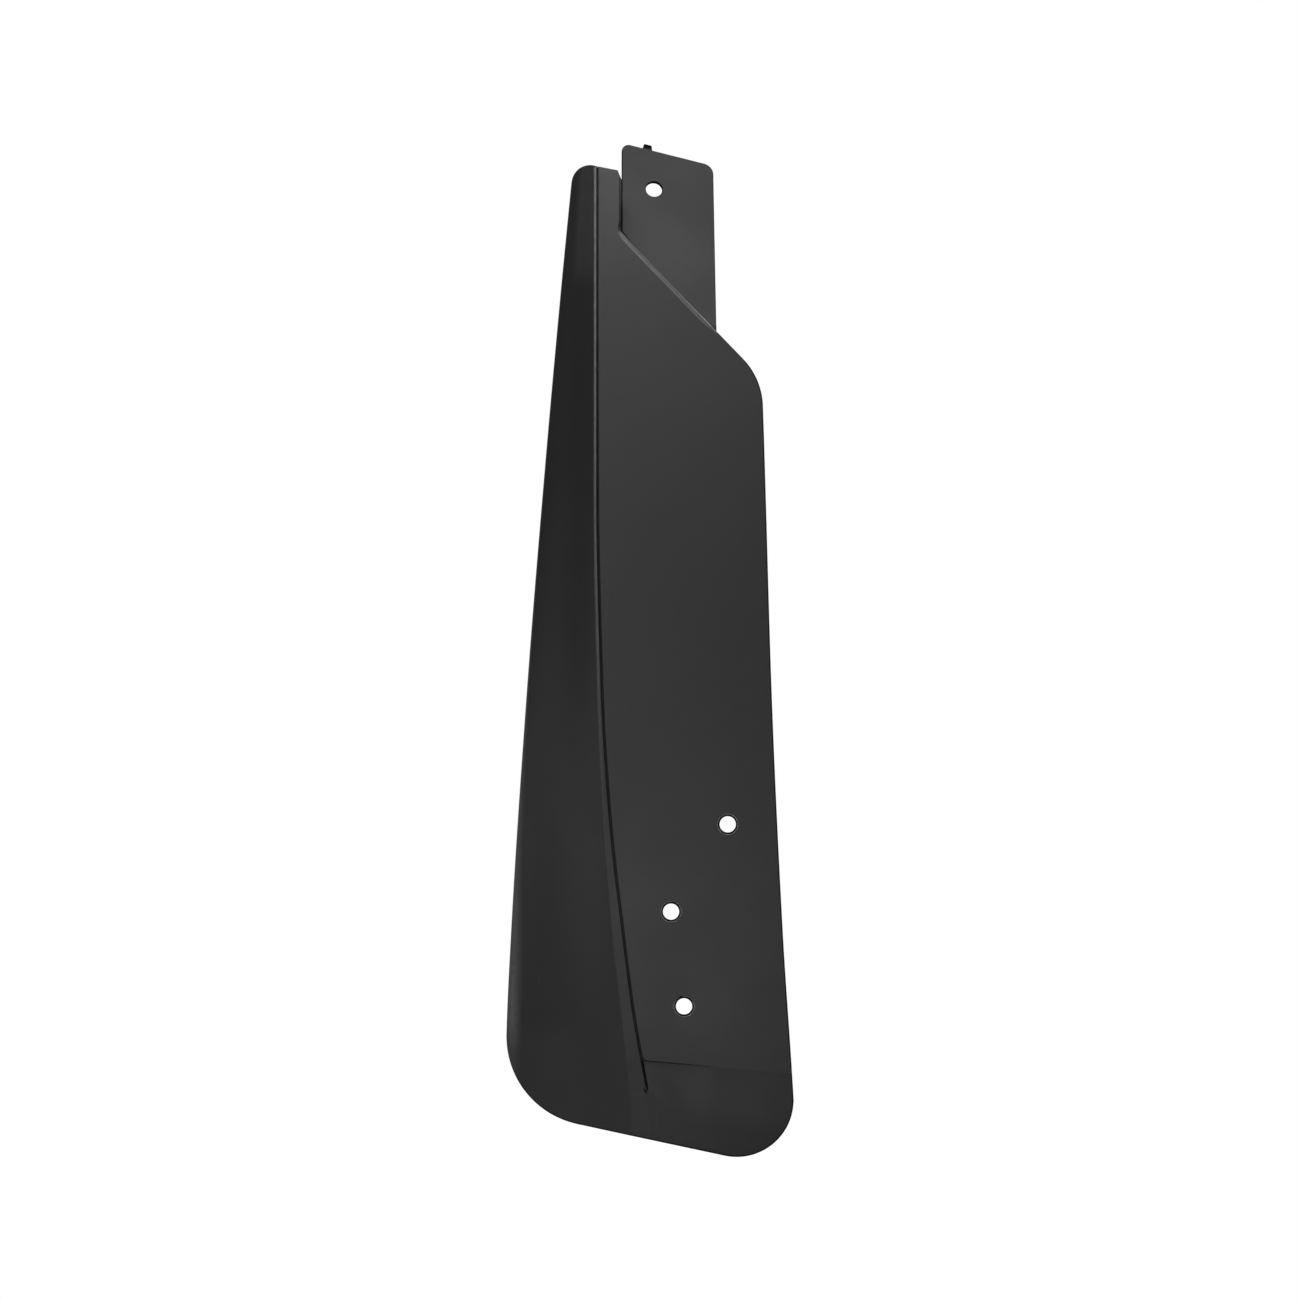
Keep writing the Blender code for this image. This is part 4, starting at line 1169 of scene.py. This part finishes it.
def moulded_plastic(name, tone, roughness, grain, worn_and_highlight_tone):
    """Matt black moulded plastic: fine spark grain, cloudy sheen, faint scuffs, painted highlights and
    painted shade.
    """
    f = Finish(name)
    fine = f.noise(2600.0, 2.0)
    base = f.blend(f.ramp(f.noise(9.0, 4.0), 0.3, 0.7), grey(tone * 0.9), grey(tone * 1.1))
    base = f.blend(f.times(f.ramp(fine, 0.35, 0.75), 0.35), base, grey(tone * 1.5))
    scratches = f.noise(1.0, 2.0, 0.5, f.stretched((900.0, 900.0, 14.0), (0.0, 0.12, 0.0)))
    patches = f.ramp(f.noise(14.0, 2.0), 0.55, 0.75)
    scuff = f.times(f.ramp(scratches, 0.66, 0.78), patches)
    base = f.blend(f.times(scuff, 0.35), base, grey(worn_and_highlight_tone))
    ragged = f.ramp(f.noise(320.0, 3.0), 0.25, 0.6, 0.55, 1.0)
    # Positive vertex values paint the colour paler, painted highlights on folds and rolled edges; negative
    # values paint it near black with rougher, duller specular, a painted shade.
    pale, dark = f.painted_light_and_wear()
    worn_or_highlit = f.times(pale, ragged)
    base = f.blend(worn_or_highlit, base, grey(worn_and_highlight_tone))
    f.drive("Base Color", f.blend(dark, base, grey(PAINTED_SHADE_TONE)))
    sheen = f.ramp(f.noise(22.0, 3.0), 0.3, 0.7, roughness - 0.04, roughness + 0.04)
    sheen = f.math("SUBTRACT", sheen, f.times(worn_or_highlit, 0.07))
    sheen = f.math("ADD", sheen, f.times(dark, 0.45))
    f.drive("Roughness", f.math("ADD", sheen, f.times(scuff, 0.1)))
    f.drive("Specular IOR Level", f.ramp(dark, 0.0, 1.0, 0.5, 0.1))
    pebble = f.bump(f.noise(1500.0, 3.0, 0.6), grain, 0.00006)
    ripple = f.bump(f.noise(38.0, 2.0), 0.12, 0.0004, pebble)
    f.drive("Normal", f.bump(scratches, 0.04, 0.00003, ripple))
    return f.material


def coated_steel(name, tone, roughness):
    """Black electro-coat on sheet steel: slight orange peel, small specks, rubbed paler edges and painted
    shade.
    """
    f = Finish(name)
    specks = f.ramp(f.noise(1400.0, 1.0), 0.7, 0.76)
    base = f.blend(f.ramp(f.noise(30.0, 3.0), 0.3, 0.7), grey(tone * 0.9), grey(tone * 1.1))
    base = f.blend(f.times(specks, 0.4), base, grey(tone * 2.5))
    # Negative vertex values paint the colour near black with rougher, duller specular, a painted shade;
    # positive values paint rubbed paler edges.
    pale, dark = f.painted_light_and_wear()
    worn_or_highlit = f.times(pale, f.ramp(f.noise(260.0, 3.0), 0.35, 0.65))
    base = f.blend(f.times(worn_or_highlit, 0.5), base, grey(0.09, 1.03))
    f.drive("Base Color", f.blend(dark, base, grey(PAINTED_SHADE_TONE)))
    sheen = f.ramp(f.noise(45.0, 3.0), 0.3, 0.7, roughness - 0.02, roughness + 0.03)
    f.drive("Roughness", f.math("ADD", sheen, f.times(dark, 0.4)))
    f.drive("Specular IOR Level", f.ramp(dark, 0.0, 1.0, 0.3, 0.05))
    peel = f.bump(f.noise(700.0, 2.0), 0.25, 0.00005)
    f.drive("Normal", f.bump(f.noise(2400.0, 2.0), 0.15, 0.00002, peel))
    return f.material


def zinc_steel(name, tone):
    """Black zinc-plated fixings with a mottled surface and brighter high spots."""
    f = Finish(name)
    base = f.blend(f.ramp(f.noise(600.0, 3.0), 0.3, 0.7), grey(tone * 0.75), grey(tone * 1.3, 1.02))
    f.drive("Base Color", base)
    f.drive("Metallic", 1.0)
    f.drive("Roughness", f.ramp(f.noise(900.0, 3.0), 0.3, 0.7, 0.26, 0.42))
    f.drive("Normal", f.bump(f.noise(3000.0, 2.0), 0.2, 0.00002))
    return f.material


def black_rubber(name):
    """Matt rubber with a fine extrusion grain along its length and a dusty bloom."""
    f = Finish(name)
    lines = f.noise(1.0, 2.0, 0.5, f.stretched((2600.0, 2600.0, 60.0)))
    f.drive("Base Color", f.blend(f.ramp(f.noise(70.0, 4.0), 0.35, 0.75), grey(0.008), grey(0.02)))
    f.drive("Roughness", f.ramp(f.noise(120.0, 3.0), 0.3, 0.7, 0.68, 0.85))
    f.drive("Normal", f.bump(lines, 0.3, 0.00005))
    return f.material


# ---- pieces

GUARD_PLASTIC = moulded_plastic("guard_plastic_look", 0.0128, 0.5, 0.35, 0.1)
PLATE_PLASTIC = moulded_plastic("plate_plastic_look", 0.019, 0.47, 0.28, 0.065)
BRACKET_STEEL = coated_steel("bracket_steel_look", 0.007, 0.6)
SLEEVE_STEEL = coated_steel("sleeve_steel_look", 0.006, 0.5)
FIXING_STEEL = zinc_steel("screw_steel_look", 0.14)
SEAL_RUBBER = black_rubber("seal_rubber_look")

piece("guard_shell", [make_wing(), make_lip(), make_sheet()], GUARD_PLASTIC, "guard_plastic", "outer_guard")
piece("face_plate", make_plate(), PLATE_PLASTIC, "plate_plastic", "mounting_plate")
piece("bent_bracket", [make_bracket()], BRACKET_STEEL, "bracket_steel", "upper_bracket")
piece("channel_seal", [make_seal()], SEAL_RUBBER, "seal_rubber", "edge_seal")
for node in sorted(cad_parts):
    if node.startswith("hole_sleeve"):
        piece("lined_" + node, [make_sleeve(node)], SLEEVE_STEEL, "sleeve_steel", node)
    elif "washer" in node:
        piece("round_" + node, [make_washer(node)], FIXING_STEEL, "screw_steel", node)
    elif "screw" in node:
        piece("socket_" + node, [make_screw(node)], FIXING_STEEL, "screw_steel", node)


# ---- studio

LOW, HIGH = (Vector(corner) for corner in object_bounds())
CENTRE = (LOW + HIGH) / 2
PICTURE_SHARE = 0.78
FLOOR_DROP = 0.35
FLOOR_HALF = 14.0


def make_floor():
    bm = bmesh.new()
    bmesh.ops.create_grid(bm, x_segments=4, y_segments=4, size=FLOOR_HALF)
    bmesh.ops.translate(bm, vec=(0, 0, LOW.z - FLOOR_DROP), verts=bm.verts)
    mesh = bpy.data.meshes.new("floor")
    bm.to_mesh(mesh)
    bm.free()
    floor = bpy.data.objects.new("floor", mesh)
    bpy.context.scene.collection.objects.link(floor)
    f = Finish("pale_floor")
    looks = {"Base Color": grey(0.9), "Roughness": 0.9, "Specular IOR Level": 0.0,
             "Emission Color": grey(1.0), "Emission Strength": 0.9}
    for name, value in looks.items():
        f.drive(name, value)
    mesh.materials.append(f.material)
    floor.visible_diffuse = False
    floor.visible_glossy = False
    floor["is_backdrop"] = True


def make_world(seen, lit):
    """White to the camera and nearly dark to the pieces, which the area lights light."""
    world = bpy.data.worlds.new("studio")
    bpy.context.scene.world = world
    world.use_nodes = True
    tree = world.node_tree
    plain = tree.nodes["Background"]
    white = tree.nodes.new("ShaderNodeBackground")
    for background, strength in ((plain, lit), (white, seen)):
        background.inputs["Color"].default_value = (1, 1, 1, 1)
        background.inputs["Strength"].default_value = strength
    rays = tree.nodes.new("ShaderNodeLightPath")
    choose = tree.nodes.new("ShaderNodeMixShader")
    tree.links.new(rays.outputs["Is Camera Ray"], choose.inputs[0])
    tree.links.new(plain.outputs[0], choose.inputs[1])
    tree.links.new(white.outputs[0], choose.inputs[2])
    tree.links.new(choose.outputs[0], tree.nodes["World Output"].inputs["Surface"])


def area_light(name, place, aim, size, power):
    """Rectangular light; place and aim are in metres from the flap's centre."""
    data = bpy.data.lights.new(name, "AREA")
    data.shape = "RECTANGLE"
    data.size, data.size_y = size
    data.energy = power
    light = bpy.data.objects.new(name, data)
    light.location = CENTRE + Vector(place)
    direction = CENTRE + Vector(aim) - light.location
    light.rotation_euler = direction.to_track_quat("-Z", "Y").to_euler()
    light.visible_camera = False
    bpy.context.scene.collection.objects.link(light)


def make_camera():
    data = bpy.data.cameras.new("camera")
    data.lens = 1500.0
    data.sensor_width = 36.0
    distance = (HIGH.z - LOW.z) / PICTURE_SHARE * data.lens / data.sensor_width
    camera = bpy.data.objects.new("camera", data)
    camera.location = (CENTRE.x, LOW.y - distance, CENTRE.z)
    camera.rotation_euler = (math.pi / 2, 0, 0)
    data.clip_end = 60.0
    bpy.context.scene.collection.objects.link(camera)
    bpy.context.scene.camera = camera


bpy.context.scene.view_settings.view_transform = "Standard"
make_floor()
make_world(1.0, 0.03)
area_light("front_left", (-0.12, -0.35, 0.0), (-0.03, 0, 0), (0.1, 0.5), 0.24)
area_light("front_low", (0, -0.3, -0.16), (0, 0, -0.16), (0.1, 0.1), 0.07)
area_light("front_fill", (0.2, -1.6, 0), (0, 0, 0), (1.0, 1.0), 1.5)
area_light("left_near", (-0.45, -0.05, -0.25), (-0.05, 0, -0.15), (0.2, 0.4), 0.1)
area_light("left_edge", (-0.4, 0.12, -0.2), (-0.05, 0.02, -0.12), (0.1, 0.3), 0.12)
area_light("left_side", (-1.3, -0.3, 0), (0, 0, 0), (0.4, 1.2), 1.35)
area_light("left_low", (-0.6, -0.8, -0.4), (0, 0, -0.1), (0.4, 0.4), 0.8)
area_light("left_rim", (-0.6, 0.75, -0.1), (0, 0, -0.05), (0.3, 1.2), 0.21)
area_light("top_near", (0, -0.22, 0.42), (0, 0, 0.2), (0.2, 0.2), 1.7)
area_light("back_right", (1.2, 1.1, 0.7), (0, 0, 0), (0.8, 0.8), 24)
area_light("back_high", (-0.3, 1.4, 0.9), (0, 0, 0), (0.8, 0.8), 14)
area_light("back_low", (0.3, 1.3, -0.5), (0, 0, 0), (0.8, 0.8), 16)
make_camera()
